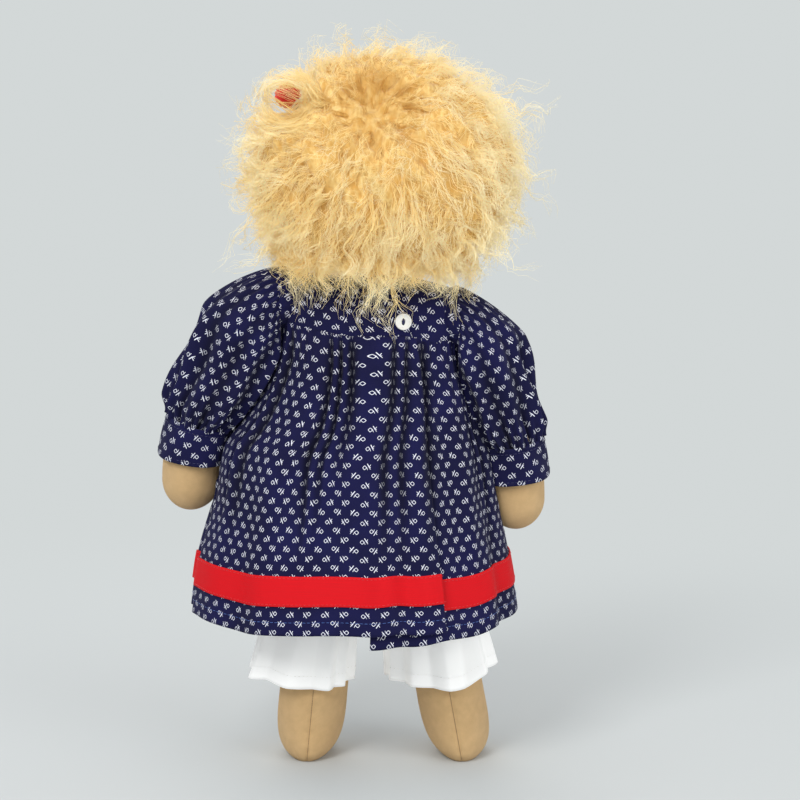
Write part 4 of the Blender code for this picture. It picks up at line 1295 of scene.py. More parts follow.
@dataclass
class Arm:
    """One stuffed arm, and the sleeve and cuff that go round it.

    Attributes:
        reach: how far out the hand hangs from the shoulder.
        puff: how far the sleeve stands off the arm.
    """

    side: Side
    torso: Torso
    reach: float
    puff: float
    radius_full: float = 0.0168
    forward: float = 0.014
    shoulder_x: float = 0.058
    shoulder_height: float = 0.2575
    drop: float = 0.1225
    bend_shares: Pair = (1.08, 0.45)
    shares: Shares = Shares(((0.0, 0.77), (0.3, 0.83), (0.6, 0.92), (0.8, 1.0), (1.0, 0.97)))
    hand_start: float = 0.87
    cuff: Pair = (0.605, 0.76)
    cuff_ease: float = 0.0017
    sleeve_puff: Shares = Shares(
        ((0.0, 1.35), (0.2, 1.15), (0.45, 0.8), (0.7, 0.62), (0.9, 0.4), (1.0, 0.26))
    )
    sleeve_droop: float = 0.0044
    pleats: int = 10
    pleat_depth: float = 0.0027
    armhole: Triple = (0.0186, 0.0225, 0.0013)
    armhole_top: float = 0.82
    turned_in: Pair = (0.011, 0.3)
    slim: float = 0.72
    cloth: float = 0.0009
    cuff_cloth: float = 0.0014
    cuff_rows: Pair = (0.1, 0.9)
    gathers: int = 31
    arm_room: float = 0.0018
    ring: int = 96

    def __post_init__(self) -> None:
        """Places the arm's curve."""
        sign = self.side.value
        seat = sign * self.torso.side_seat
        rise = float(self.torso.lean(np.array(seat)))
        self.shoulder = np.array([sign * self.shoulder_x, 0.0, self.shoulder_height + rise])
        out, down = self.bend_shares
        self.bend = self.shoulder + (sign * self.reach * out, 0.0, -self.drop * down)
        self.hand = self.shoulder + (sign * self.reach, -self.forward, -self.drop)

    def centre(self, share: Array) -> Array:
        """Points on the arm's centre line."""
        s = np.asarray(share)[..., None]
        return self.shoulder * (1 - s) ** 2 + self.bend * (2 * s * (1 - s)) + self.hand * s**2

    def axes(self, share: Array) -> tuple[Array, Array, Array]:
        """The directions along the arm, outwards from the body and backwards."""
        s = np.maximum(np.asarray(share), 0.0)[..., None]
        along = unit((self.bend - self.shoulder) * (1 - s) + (self.hand - self.bend) * s)
        back = unit(np.array([0.0, 1.0, 0.0]) - along * along[..., 1:2])
        return along, np.cross(along, back) * self.side.value, back

    def radius(self, share: Array) -> Array:
        """The arm's radius, which closes in a round hand."""
        radius = self.radius_full * self.shares.at(share)[..., 0]
        past = np.clip((share - self.hand_start) / (1 - self.hand_start), 0.0, 1.0)
        return radius * np.sqrt(1 - past * past)

    def beside(self, points: Array, limit: Array) -> Array:
        """Keeps points on the arm's side of a plane beside the body."""
        x = np.maximum(points[..., 0] * self.side.value, limit) * self.side.value
        return np.concatenate([x[..., None], points[..., 1:]], axis=-1)

    def around(self, share: Array, turn: Array, reach: Array) -> Array:
        """Points round the arm at a reach from its centre line."""
        _, outward, back = self.axes(share)
        ring = outward * np.cos(turn)[..., None] + back * np.sin(turn)[..., None]
        return self.centre(share) + ring * reach[..., None]

    def build_arm(self, finishes: Finishes) -> None:
        """Makes the arm, round at the shoulder and pressed flat where it is sewn on."""
        across, down = grid_axes(72, 110, True)
        polar = np.linspace(0.06, 1, 16) * math.pi / 2
        rise = self.radius(np.array(0.0)) * self.slim
        along = self.axes(np.array(0.0))[0]
        turn = across * TAU
        reach = rise * np.sin(polar)[:, None] * np.ones((16, 72))
        top = self.around(np.zeros((16, 72)), turn[:16], reach)
        top = top - along * (rise * np.cos(polar))[:, None, None]
        share = 1 - (1 - down[1:]) ** 1.35
        share = np.minimum(share, 0.9993)
        hidden = mix(self.slim, 1.0, ease((share - 0.3) / 0.25))
        rings = self.around(share, turn[1:], self.radius(share) * hidden)
        rings = self.beside(np.concatenate([top, rings]), self.torso.side_seat + 0.0003)
        piece = lofted(rings).to_object("arm_jersey_" + self.side.word)
        name = "arm_" + self.side.word
        settle(piece, name, finishes.jersey, [name])

    def crown(self, turn: Array) -> Array:
        """How high the armhole's seam stands round its middle, flatter above than below."""
        return np.where(np.cos(turn) > 0, self.armhole_top, 1.0) * np.cos(turn)

    def sleeve_point(self, across: Array, down: Array, skirt: "Skirt") -> Array:
        """Points on the sleeve, from the armhole to the cuff.

        Args:
            across: the share round the sleeve.
            down: the share down it.
            skirt: the skirt that it hangs beside.

        Returns:
            The points.
        """
        turn = across * TAU
        share = self.cuff[0] * down
        cuffward = ease((down - 0.88) / 0.12)
        puff = self.puff * self.sleeve_puff.at(down)[..., 0]
        puff = mix(puff, self.cuff_ease + 0.0004, cuffward)
        wave = self.pleats * turn + 0.8 * np.sin(2 * turn + 0.5)
        pleat = self.pleat_depth * (1 + np.cos(wave)) * ease(down * 2) * (1 - cuffward / 2)
        fine = np.cos(self.gathers * turn + 2.0 * np.sin(3 * turn))
        pleat = pleat + 0.0011 * fine * (ease((down - 0.62) / 0.3) + 0.7 * ease(1 - down / 0.3))
        drape = np.sin(4.0 * turn + 8.0 * down + 1.3 * self.side.value + 1.2 * np.sin(2 * turn))
        pleat = pleat + 0.0022 * drape * np.sin(math.pi * down) - 0.0008
        reach = self.radius(share) + puff + pleat
        _, outward, back = self.axes(share)
        droop = self.sleeve_droop * np.sin(math.pi * down)
        centre = self.centre(share) - outward * droop[..., None]
        ring = outward * np.cos(turn)[..., None] + back * np.sin(turn)[..., None]
        tube = centre + ring * reach[..., None]
        high, deep, rise = self.armhole
        seat = self.side.value * (self.torso.side_seat + 0.0001)
        rough = 1 + 0.03 * fine
        up = self.shoulder[2] + rise + high * self.crown(turn) * rough
        hole = spot(seat, deep * np.sin(turn) * rough, up)
        points = mix(hole, tube, ease(down / 0.28)[..., None])
        beside = skirt.side_reach(self.side, points[..., 2]) + 0.0008
        limit = np.maximum(self.torso.side_seat + 0.0003, beside)
        pressed = self.centre(share)[..., 0] * self.side.value - self.radius(share) - self.arm_room
        limit = np.where(share > 0.3, np.minimum(limit, pressed), limit)
        inside = (down > 0) & (down < 1)
        return np.where(inside[..., None], self.beside(points, limit), points)

    def sleeve_painted_fold_shade(self, across: Array, down: Array) -> Array:
        """How much painted shade each point of the sleeve gets, from 0 to 1, more the deeper it
        lies in a fold.
        """
        turn = across * TAU
        wave = self.pleats * turn + 0.8 * np.sin(2 * turn + 0.5)
        broad = (0.5 - 0.5 * np.cos(wave)) ** 4 * ease(down * 3)
        fine = (0.5 - 0.5 * np.cos(self.gathers * turn + 2.0 * np.sin(3 * turn))) ** 3
        ends = ease((down - 0.72) / 0.25) + ease(1 - down / 0.25)
        return np.clip(0.6 * broad + 0.45 * fine * ends, 0.0, 1.0)

    def build_sleeve(self, finishes: Finishes, skirt: "Skirt", stitches: StitchTree) -> None:
        """Makes the sleeve, its armhole seam and its cuff."""
        word, sign = self.side.word, self.side.value
        across, down = grid_axes(200, 58, True)
        points = self.sleeve_point(across, down, skirt)
        uv = arc_uv(points, True)
        piece = cloth_shell(points, uv, self.cloth, True).to_object("sleeve_cloth_" + word)
        # Painted shade: how deep each point lies in a fold, for the print to darken there.
        store(piece, "painted_fold_shade", np.concatenate([self.sleeve_painted_fold_shade(across, down).ravel()] * 2))
        settle(piece, "", finishes.print, ["sleeve_" + word])
        zero = (sign * self.torso.side_seat, 0.0, self.shoulder[2] - self.armhole[0])
        ramp = Bend("torso", "arm_" + word, zero, (sign / 0.012, 0.0, -1 / 0.02))
        ramp.apply(piece)
        self.build_armhole(finishes)
        self.build_cuff(finishes, stitches)

    def build_armhole(self, finishes: Finishes) -> None:
        """Makes the rolled seam where the sleeve meets the yoke."""
        turn = full_turn(self.ring)
        high, deep, rise = self.armhole
        centre = np.array([self.side.value * self.torso.side_seat, 0.0, self.shoulder[2] + rise])
        rings = []
        for k in range(10):
            roll = k / 10 * TAU
            inward = max(-math.sin(roll), 0.0)
            size = 1 + 0.05 * math.cos(roll) - self.turned_in[1] * inward
            out = (0.0011 * max(math.sin(roll), 0.0) - self.turned_in[0] * inward) * self.side.value
            wobble = 1 + 0.015 * np.sin(29 * turn)
            y = centre[1] + deep * size * wobble * np.sin(turn)
            z = centre[2] + high * size * wobble * self.crown(turn)
            rings.append(spot(centre[0] + out, y, z))
        ring = np.array(rings)
        quads, _ = grid_faces(10, self.ring, True)
        last, first = quads[-self.ring :], quads[: self.ring]
        close = np.stack([last[:, 3], last[:, 2], first[:, 1], first[:, 0]], axis=1)
        faces = np.concatenate([quads, close])
        flat = ring.reshape(-1, 3)[faces]
        angle = np.arctan2(flat[..., 1] - centre[1], flat[..., 2] - centre[2])
        uv = spot(angle * deep, flat[..., 0]).reshape(-1, 2)
        solid = Solid(ring.reshape(-1, 3), [faces], uv).turned_out()
        piece = solid.to_object("armhole_seam_" + self.side.word)
        settle(piece, "torso", finishes.print)

    def build_cuff(self, finishes: Finishes, stitches: StitchTree) -> None:
        """Makes the turned-back cuff and its two rows of stitches."""
        word = self.side.word
        across, down = grid_axes(160, 18, True)
        share = mix(self.cuff[0] - 0.006, self.cuff[1], down)
        edges = [np.exp(-((down - at) / 0.05) ** 2) for at in (0.02, 0.97)]
        roll = 0.0005 * (edges[0] + edges[1])
        wobble = 0.0004 * np.sin(5 * across * TAU + 4 * down)
        ease_out = self.cuff_ease + 0.0014 + 0.0006 * down + roll + wobble
        points = self.around(share, across * TAU, self.radius(share) + ease_out)
        uv = arc_uv(points, True)
        piece = cloth_shell(points, uv, self.cuff_cloth, True).to_object("cuff_cloth_" + word)
        settle(piece, "arm_" + word, finishes.print, ["cuff_" + word])
        lines = []
        for at in self.cuff_rows:
            row = np.full(120, mix(self.cuff[0], self.cuff[1], at))
            turn = np.linspace(0, TAU, 120)
            lines.append(self.around(row, turn, self.radius(row) + self.cuff_ease + 0.0021))
        dye = finishes.navy_thread
        sewn = stitches.sew("cuff_stitches_" + word, lines, CUFF_STITCH, dye)
        settle(sewn, "arm_" + word, dye)


@dataclass
class Leg:
    """One stuffed leg with its foot and the pantaloon leg round it.

    Attributes:
        splay: how far the leg leans outwards on its way down.
        inner: how much wider the hem of the pantaloons is between the legs.
        outer: the same on the outside.
        rise: how much higher the hem is on the outside.
    """

    side: Side
    torso: Torso
    splay: float
    inner: float
    outer: float
    rise: float
    spacing: float = 0.047
    hip_drop: float = 0.0009
    radius: float = 0.0197
    edge: float = 0.0004
    foot_forward: float = 0.0095
    shares: Shares = Shares((
        (0.0, 0.8, 0.0, 0.0), (0.04, 0.83, 0.125, 0.0), (0.09, 0.9, 0.37, 0.0),
        (0.15, 0.96, 0.68, 0.0), (0.22, 1.0, 0.92, 0.0), (0.3, 1.0, 1.0, 0.0),
        (0.52, 0.97, 1.0, 0.0), (0.74, 0.98, 1.0, 0.03), (0.82, 0.985, 1.06, 0.25),
        (0.88, 0.96, 1.22, 0.62), (0.93, 0.89, 1.38, 0.9), (0.965, 0.77, 1.4, 1.0),
        (0.988, 0.62, 1.3, 1.0), (1.0, 0.5, 1.16, 0.98),
    ))
    seat_bottom: float = 0.1463
    hem: float = 0.046
    top_half: float = 0.0222
    hem_half: Pair = (0.0305, 0.0285)
    pleats: int = 10
    pleat_depth: float = 0.0048
    cloth: float = 0.0008
    tuck: float = 0.006
    bend_height: float = 0.026

    @property
    def top(self) -> float:
        """Height of the hinge line at the top of the leg."""
        return self.torso.bottom - self.hip_drop

    def centre(self, share: Array) -> Array:
        """Where the leg's centre line lies beside the body."""
        out = self.spacing / 2 + self.splay * share
        return self.torso.head_offset / 2 + self.side.value * out

    def build_leg(self, finishes: Finishes, stitches: StitchTree) -> None:
        """Makes the leg with the seam down its back."""
        across, down = grid_axes(96, 120, True)
        share = 1 - (1 - down) ** 1.3
        wide, deep, toe = self.shares.columns(share)
        turn = across * TAU - math.pi / 2
        wide, deep = self.radius * wide, self.radius * deep + self.edge * (share < 0.2)
        behind = np.exp(-((turn - math.pi / 2) / 0.05) ** 2)
        seam = 1 - 0.035 * behind * ease((share - 0.2) / 0.1)
        pucker = 1 + 0.006 * np.sin(share * 170) * np.exp(-((turn - math.pi / 2) / 0.25) ** 2)
        x = self.centre(share) + wide * np.cos(turn) * pucker
        y = deep * np.sin(turn) * seam * pucker - self.foot_forward * toe
        rings = spot(x, y, self.top * (1 - share))
        rings[-1, :, 2] = 0.0
        rows = np.linspace(0.35, 0.985, 200)
        wide, deep, toe = self.shares.columns(rows)
        y = self.radius * deep * 0.965 - self.foot_forward * toe + 0.0001
        seam = spot(self.centre(rows), y, self.top * (1 - rows))
        word, dye = self.side.word, finishes.tan_thread
        name = "leg_" + word
        sewn = stitches.sew("leg_seam_" + word, [seam], LEG_STITCH, dye)
        settle(sewn, name, dye)
        piece = lofted(rings).to_object("leg_jersey_" + word)
        settle(piece, name, finishes.jersey, [name])

    def pantaloon_point(self, across: Array, down: Array, top: float) -> Array:
        """Points on the pleated leg of the pantaloons."""
        turn = across * TAU
        height = mix(top, self.hem, down)
        share = 1 - height / self.top
        low = np.clip((self.seat_bottom - height) / (self.seat_bottom - self.hem), 0.0, 1.0)
        half_width = mix(self.top_half, self.hem_half[0], low)
        half_depth = mix(self.top_half, self.hem_half[1], low)
        wave = self.pleats * turn + 1.5 * np.sin(turn * 2 + self.side.value) + 1.6 * low
        crease = np.abs((wave / math.pi) % 2 - 1)
        fold = self.pleat_depth * mix(0.1, 1.0, low) * (mix(ease(crease), crease, 0.55) - 1)
        sway = 0.0012 * np.sin(3 * turn + 5 * low) * low
        side = self.side.value * np.cos(turn)
        half_width = half_width + self.inner * low * ease(-side)
        half_width = half_width + self.outer * low**1.5 * ease(side)
        x = self.centre(share) + (half_width + fold + sway) * np.cos(turn)
        y = (half_depth + fold + sway) * np.sin(turn)
        corner = np.exp(-((turn - (0.35 if self.side is Side.LEFT else 2.9)) / 0.35) ** 2)
        height = height - 0.0035 * corner * low**3 + 0.0016 * np.sin(2 * turn + 1) * low**2
        height = height + self.rise * low**3 * ease(side * 1.6 - 0.6)
        return spot(x, y, height)

    def build_pantaloon(self, finishes: Finishes, stitches: StitchTree) -> None:
        """Makes the pantaloon leg, which gathers from the seat and flares to its hem."""
        word = self.side.word
        across, down = grid_axes(180, 46, True)
        top = self.seat_bottom + self.tuck
        points = self.pantaloon_point(across, down, top)
        uv = arc_uv(points, True)
        piece = cloth_shell(points, uv, self.cloth, True).to_object("pantaloon_cloth_" + word)
        settle(piece, "", finishes.white, ["pantaloon_leg_" + word])
        start, slope = (0.0, 0.0, self.top + 0.002), (0.0, 0.0, -1 / self.bend_height)
        Bend("torso", "leg_" + word, start, slope).apply(piece)
        turn = np.linspace(0, 1, 400)
        line = self.pantaloon_point(turn, np.full(400, 0.93), top)
        middle = np.array([float(self.centre(np.array(0.6))), 0.0, 0.0])
        line = line + unit((line - middle) * (1, 1, 0)) * 0.0001
        dye = finishes.white_thread
        sewn = stitches.sew("pantaloon_stitches_" + word, [line], PANTALOON_STITCH, dye)
        settle(sewn, "leg_" + word, dye)


@dataclass(frozen=True)
class Cut:
    """How a panel is cut.

    Attributes:
        width: its flat width.
        drawn: its width when it is drawn up.
        start: where the print starts.
        worn: about how wide it is on the doll.
    """

    width: float
    drawn: float
    start: float
    worn: float


CUTS = {
    Panel.FRONT: Cut(0.306, 0.15, 0.0, 0.30),
    Panel.OVER: Cut(0.212, 0.102, 0.003, 0.20),
    Panel.UNDER: Cut(0.152, 0.07, 0.007, 0.14),
}


@dataclass
class Skirt:
    """The gathered skirt: a front and two back panels that overlap, with a ribbon round the hem.

    Attributes:
        over_edge: x of the over panel's edge at the seam and at the hem.
        under_edge: the same for the under panel.
        middle: x of the plane on which the front's strips meet.
        gusset: the width of each of the two strips beside it.
        bend_top: where a ramp towards the legs starts; the cloth is not bent along it.
        bend_slope: how fast that ramp rises.
        columns: points across each metre of cloth on the doll.
        room: what is kept from an arm, and how much more from a sleeve and from a cuff.
    """

    torso: Torso
    arms: Sequence[Arm] = ()
    hem: float = 0.0865
    left: float = 0.102
    right: float = 0.0835
    half_depth: float = 0.075
    side_shares: Shares = Shares((
        (0.0, 0.466, 0.569, 0.345), (0.1, 0.468, 0.571, 0.38), (0.17, 0.515, 0.62, 0.41),
        (0.24, 0.575, 0.67, 0.46), (0.33, 0.67, 0.73, 0.53), (0.42, 0.79, 0.79, 0.61),
        (0.6, 0.865, 0.86, 0.75), (0.8, 0.955, 0.935, 0.89), (1.0, 1.0, 1.0, 1.0),
    ))
    folds: int = 17
    fold_depth: float = 0.0075
    fold_start: float = 0.0008
    fold_share: float = 0.8
    gathers: int = 25
    gather_depth: float = 0.0042
    fine_depth: float = 0.0008
    droop: float = 0.008
    over_edge: Pair = (-0.0235, -0.0375)
    under_edge: Pair = (-0.006, 0.0)
    lift: float = 0.0026
    ribbon_width: float = 0.016
    ribbon_height: float = 0.0155
    cloth: float = 0.0009
    middle: float = -0.003
    gusset: float = 0.006
    hem_squareness: float = 2.15
    bend_top: Triple = (0.0, 0.0, 0.2045)
    bend_slope: Triple = (0.0, -4.75, -2.81)
    columns: int = 1060
    ribbon_cloth: float = 0.0008
    ribbon_lift: float = 0.0011
    hem_row: float = 0.955
    room: Triple = (0.0012, 0.0016, 0.0034)

    @property
    def seam(self) -> float:
        """Height of the seam under the yokes, at the middle."""
        return self.torso.bottom + self.torso.height * 0.767

    def side_reach(self, side: Side, height: Array) -> Array:
        """How far the skirt reaches beside the body at a height."""
        top = self.seam + float(self.torso.lean(np.array(side.value * self.torso.side_seat)))
        values = self.side_shares.at((top - height) / (self.seam - self.hem))
        return self.left * values[..., 0] if side is Side.LEFT else self.right * values[..., 1]

    def press_in(self, points: Array, spare: Array) -> Array:
        """Pushes points of the skirt away from the arms that hang against it."""
        for arm in self.arms:
            for share in np.linspace(0.3, 0.99, 19):
                room = self.room[0]
                if share < arm.cuff[0]:
                    room += self.room[1]
                elif share < arm.cuff[1] + 0.03:
                    room += self.room[2]
                keep = float(arm.radius(np.array(share))) + room + spare
                away = points - arm.centre(np.array(share))
                length = np.linalg.norm(away, axis=-1, keepdims=True)
                keep = np.broadcast_to(np.asarray(keep), points.shape[:-1])[..., None]
                moved = arm.centre(np.array(share)) + away / np.maximum(length, 1e-9) * keep
                points = np.where(length < keep, moved, points)
        return points

    def squareness(self, down: Array) -> Array:
        """How square the outline is, like the torso at the seam and rounder below."""
        return mix(self.torso.squareness, self.hem_squareness, ease(down / 0.4))

    def turn_at(self, x: Array, down: Array) -> Array:
        """The turn round the back at which the plain outline reaches x."""
        left, right, _ = self.side_shares.columns(down)
        inset = mix(self.fold_start, self.fold_depth, down) * ease(down / 0.06) * ease(down / 0.3)
        centre = (self.left * left - self.right * right) / 2
        half = (self.left * left + self.right * right) / 2 - inset
        power = self.squareness(down) / 2
        return np.arccos(np.clip(signed_power((x - centre) / half, power), -1, 1))

    def point(self, turn: Array, down: Array, sag: Array, offset: Array) -> Array:
        """Points on the skirt.

        Args:
            turn: the turn round it, 0 at the doll's left and a quarter at the back.
            down: the share of the way down.
            sag: how far the under panel hangs, as a share.
            offset: how far off the cloth.

        Returns:
            The points.
        """
        left, right, deep = self.side_shares.columns(down)
        folds = mix(self.fold_start, self.fold_depth, down) * ease(down / 0.06)
        folds = folds * self.fold_share
        wave = self.folds * 0.7 * turn + 1.9 * np.sin(3 * turn + 0.4) + 0.9 * np.sin(7 * turn)
        wave = wave + 0.8 * np.sin(2 * turn + 1.0) * down
        uneven = 0.62 + 0.38 * np.sin(5 * turn + 2.0 * np.sin(2 * turn) + 0.9)
        fold = folds * (1 - uneven * (0.5 - 0.5 * np.cos(wave))) * ease(down / 0.12)
        gather = self.gathered(turn, down)
        inset = folds * ease(down / 0.3)
        reach_left, reach_right = self.left * left - inset, self.right * right - inset
        centre = (reach_left - reach_right) / 2
        half_width = (reach_left + reach_right) / 2 + offset
        half_depth = self.half_depth * deep - inset + offset
        side, back = oval(turn, 2 / self.squareness(down))
        out = fold + gather
        x = centre + half_width * side + out * np.cos(turn)
        y = half_depth * back + out * np.sin(turn)
        top = self.seam + 0.0012 + self.torso.lean(x * (1 - 0.4 * down)) * (1 - ease(down * 1.3))
        wander = 0.0011 * np.sin(4 * turn + 0.6) + 0.0007 * np.sin(wave + 0.8)
        height = mix(top, self.hem, down) - self.droop * sag * down**1.5
        height = height + wander * ease((down - 0.4) / 0.6)
        return self.press_in(spot(x, y, height), offset)

    def gathered(self, turn: Array, down: Array) -> Array:
        """The small deep folds that spring from the seam and fade on the way down.

        Args:
            turn: the turn round the skirt.
            down: the share of the way down.

        Returns:
            How far the cloth stands out, never less than 0.
        """
        valley = self.valley(turn, 5.0)
        size = 0.7 + 0.3 * np.sin(7 * turn + 3 * np.sin(3 * turn))
        grown_out = mix(0.3, 1.0, ease(down / 0.1)) * self.fading(turn, down)
        fine = 0.5 + 0.5 * np.cos(61 * turn + 1.7 * np.sin(5 * turn))
        return (
            self.gather_depth * size * (1 - valley) * grown_out
            + self.fine_depth * fine * (1 - ease(down / 0.3))
            + 0.0009 * (1 - ease(down / 0.25))
        )

    def phase(self, turn: Array) -> Array:
        """Counts half turns of the gathers round the skirt, with a fold at each whole number."""
        drift = 1.9 * np.sin(4 * turn) + 1.0 * np.sin(9 * turn + 1) + 0.6 * np.sin(14 * turn)
        return (self.gathers * turn / 2 + drift) / math.pi

    def narrow(self, turn: Array) -> Array:
        """How narrow the gather at a turn is, 0 where the cloth is nearly flat."""
        rate = 7.6 * np.cos(4 * turn) + 9.0 * np.cos(9 * turn + 1) + 8.4 * np.cos(14 * turn)
        return ease(np.abs(2 * rate / self.gathers + 1) / 0.9)

    def valley(self, turn: Array, sharp: float) -> Array:
        """How near a turn is to the bottom of a gather, 1 in it and 0 on the crests."""
        return np.abs(np.cos(math.pi * self.phase(turn))) ** sharp

    def fading(self, turn: Array, down: Array) -> Array:
        """How much of the gathers is left on the way down, longer in some folds than in others."""
        fades = 0.14 + 0.3 * (0.5 + 0.5 * np.sin(11 * turn + 2 * np.sin(5 * turn)))
        return 1 - ease((down - fades) / 0.45)

    def steps(self, turn: Array) -> Array:
        """A stair with a step in each gather, where the cloth that the fold takes up is hidden."""
        phase = self.phase(turn) + 0.5
        part = phase - np.floor(phase)
        return np.floor(phase) + ease((part - 0.32) / 0.36)

    def turn_of(self, panel: Panel, across: Array, down: Array) -> Array:
        """The turn round the skirt at shares across and down a panel."""
        if panel is Panel.FRONT:
            return -math.pi * across
        if panel is Panel.OVER:
            return self.turn_at(mix(*self.over_edge, down), down) * across
        return mix(self.turn_at(mix(*self.under_edge, down), down), math.pi, across)

    def surface(self, panel: Panel, across: Array, down: Array, offset: Array) -> Array:
        """Points on one panel at shares across and down it, off the cloth by an offset."""
        under = self.turn_at(mix(*self.under_edge, down), down)
        turn = self.turn_of(panel, across, down)
        raised = np.zeros_like(across) + offset
        if panel is Panel.OVER:
            raised = raised + self.lift * ease((turn - under) / 0.3 + 1)
        sag = 1 - ease(across * 1.25) if panel is Panel.UNDER else 0.0 * across
        return self.point(turn, down, sag, raised)

    def side_ramp(self, side: Side) -> Bend:
        """A ramp from the torso to a leg, more in front than behind, which bends nothing."""
        return Bend("torso", "leg_" + side.word, self.bend_top, self.bend_slope)

    def gusset_ramp(self, side: Side) -> Bend:
        """A ramp from the torso to a leg for a narrow strip in front, from nothing at the middle,
        which bends nothing.
        """
        rise = 0.68 / self.gusset
        zero = self.middle + side.value * self.gusset
        slope = (side.value * rise, *self.bend_slope[1:])
        return Bend("torso", "leg_" + side.word, (zero, *self.bend_top[1:]), slope)

    def strips(self) -> list[tuple[str, Panel, Edges, Bend]]:
        """Lists the strips that the panels are made in.

        Returns:
            Each strip's name, panel, edges and ramp. An edge is the x it stands at, or None at the
            panel's own edge.
        """
        first, last = self.middle + self.gusset, self.middle - self.gusset
        left, right = Side.LEFT, Side.RIGHT
        return [
            ("front_left", Panel.FRONT, (None, first), self.side_ramp(left)),
            ("front_middle_left", Panel.FRONT, (first, self.middle), self.gusset_ramp(left)),
            ("front_middle_right", Panel.FRONT, (self.middle, last), self.gusset_ramp(right)),
            ("front_right", Panel.FRONT, (last, None), self.side_ramp(right)),
            ("back_over", Panel.OVER, (None, None), self.side_ramp(left)),
            ("back_under", Panel.UNDER, (None, None), self.side_ramp(right)),
        ]

    def spread(self, edges: Edges, across: Array, down: Array) -> Array:
        """Turns shares across a strip into shares across its panel."""
        ends = [
            np.full_like(down, end) if x is None else self.turn_at(np.array(x), down) / math.pi
            for x, end in zip(edges, (0.0, 1.0))
        ]
        return mix(*ends, across)

    def strip_points(
        self, panel: Panel, edges: Edges, across: Array, down: Array, offset: float
    ) -> Array:
        """Points on a strip, whose inner edges stand on planes.

        Args:
            panel: the strip's panel.
            edges: the strip's edges.
            across: the share across the strip.
            down: the share down it.
            offset: how far off the cloth.

        Returns:
            The points.
        """
        points = self.surface(panel, self.spread(edges, across, down), down, offset)
        reach = 1 if None not in edges else 8
        ends = ((edges[0], slice(0, 1), 1 - across), (edges[1], slice(-1, None), across))
        for x, column, near in ends:
            if x is not None:
                pull = np.clip(1 - (1 - near) * reach, 0.0, 1.0)
                points[..., 0] += (x - points[..., column, 0]) * pull
        return points

    def build(self, finishes: Finishes, stitches: StitchTree) -> None:
        """Makes each strip of cloth, its ribbon and its rows of stitches.

        Args:
            finishes: the doll's materials.
            stitches: the stitches' tree.
        """
        drop = self.seam - self.hem
        low = 1 - (self.ribbon_height + self.ribbon_width) / drop
        high = 1 - self.ribbon_height / drop
        whole = ("front_left", "back_over", "back_under")
        for name, panel, edges, ramp in self.strips():
            span = np.ptp(self.spread(edges, np.array([0.0, 1.0]), np.ones(2)))
            columns = max(int(self.columns * CUTS[panel].worn * span), 12)
            across, down = grid_axes(columns, 80)
            points = self.strip_points(panel, edges, across, down, 0.0)
            across = self.spread(edges, across, down)
            uv = self.panel_uv(panel, across, down)
            piece = cloth_shell(points, uv, self.cloth).to_object("skirt_" + name)
            turn = self.turn_of(panel, across, down)
            # Painted shade: darker in the valleys of the gathers and fading on the way down, for
            # the print to darken there.
            shade = 0.55 * self.valley(turn, 2.0) + 0.4 * self.valley(turn, 6.0)
            shade = shade * self.fading(turn, down) * ease(down / 0.03) * self.narrow(turn)
            store(piece, "painted_fold_shade", np.concatenate([shade.ravel()] * 2))
            stands = [panel.value] if name in whole else []
            nodes = ["skirt_" + word for word in stands]
            settle(piece, "", finishes.print, nodes)
            ramp.apply(piece)
            across, down = grid_axes(columns, 14)
            down = mix(low, high, down)
            points = self.strip_points(panel, edges, across, down, self.ribbon_lift)
            uv = self.panel_uv(panel, self.spread(edges, across, down), down)
            uv[..., 1] = -mix(0.0, self.ribbon_width, grid_axes(columns, 14)[1])
            band = cloth_shell(points, uv, self.ribbon_cloth).to_object("ribbon_" + name)
            settle(band, "", finishes.ribbon, ["ribbon_" + word for word in stands])
            ramp.apply(band)
            self.sew(name, panel, edges, (low, high), ramp, finishes, stitches)

    def sew(self, name: str, panel: Panel, strip: Edges, band: Pair,
            ramp: Bend, finishes: Finishes, stitches: StitchTree) -> None:
        """Sews the hem and both edges of the ribbon on one strip.

        Args:
            name: the strip's name.
            panel: its panel.
            strip: the strip's edges.
            band: the ribbon's upper and lower share down.
            ramp: the strip's ramp.
            finishes: the doll's materials.
            stitches: the stitches' tree.
        """
        across = np.linspace(0, 1, 240)

        def line(down: float, offset: float) -> Array:
            """A line across the strip at a share down."""
            return self.strip_points(panel, strip, across, np.full(240, down), offset)

        blue, red = finishes.blue_thread, finishes.red_thread
        hem = line(self.hem_row, 0.00025)
        sewn = stitches.sew("hem_stitches_" + name, [hem], HEM_STITCH, blue)
        settle(sewn, "", blue)
        ramp.apply(sewn)
        edges = [line(mix(*band, at), 0.00115) for at in (0.07, 0.93)]
        sewn = stitches.sew("ribbon_stitches_" + name, edges, RIBBON_STITCH, red)
        settle(sewn, "", red)
        ramp.apply(sewn)

    def panel_uv(self, panel: Panel, across: Array, down: Array) -> Array:
        """Flat coordinates of a panel, cut straight and gathered at the top."""
        cut = CUTS[panel]
        turn = self.turn_of(panel, across, down)
        first = self.steps(self.turn_of(panel, 0 * across, down))
        last = self.steps(self.turn_of(panel, 0 * across + 1, down))
        stair = (self.steps(turn) - first) / (last - first)
        gathered = cut.drawn * across + (cut.width - cut.drawn) * stair
        u = mix(gathered, across * cut.width, ease(down / 0.62))
        return spot(u + cut.start, -down * (self.seam - self.hem + 0.004))


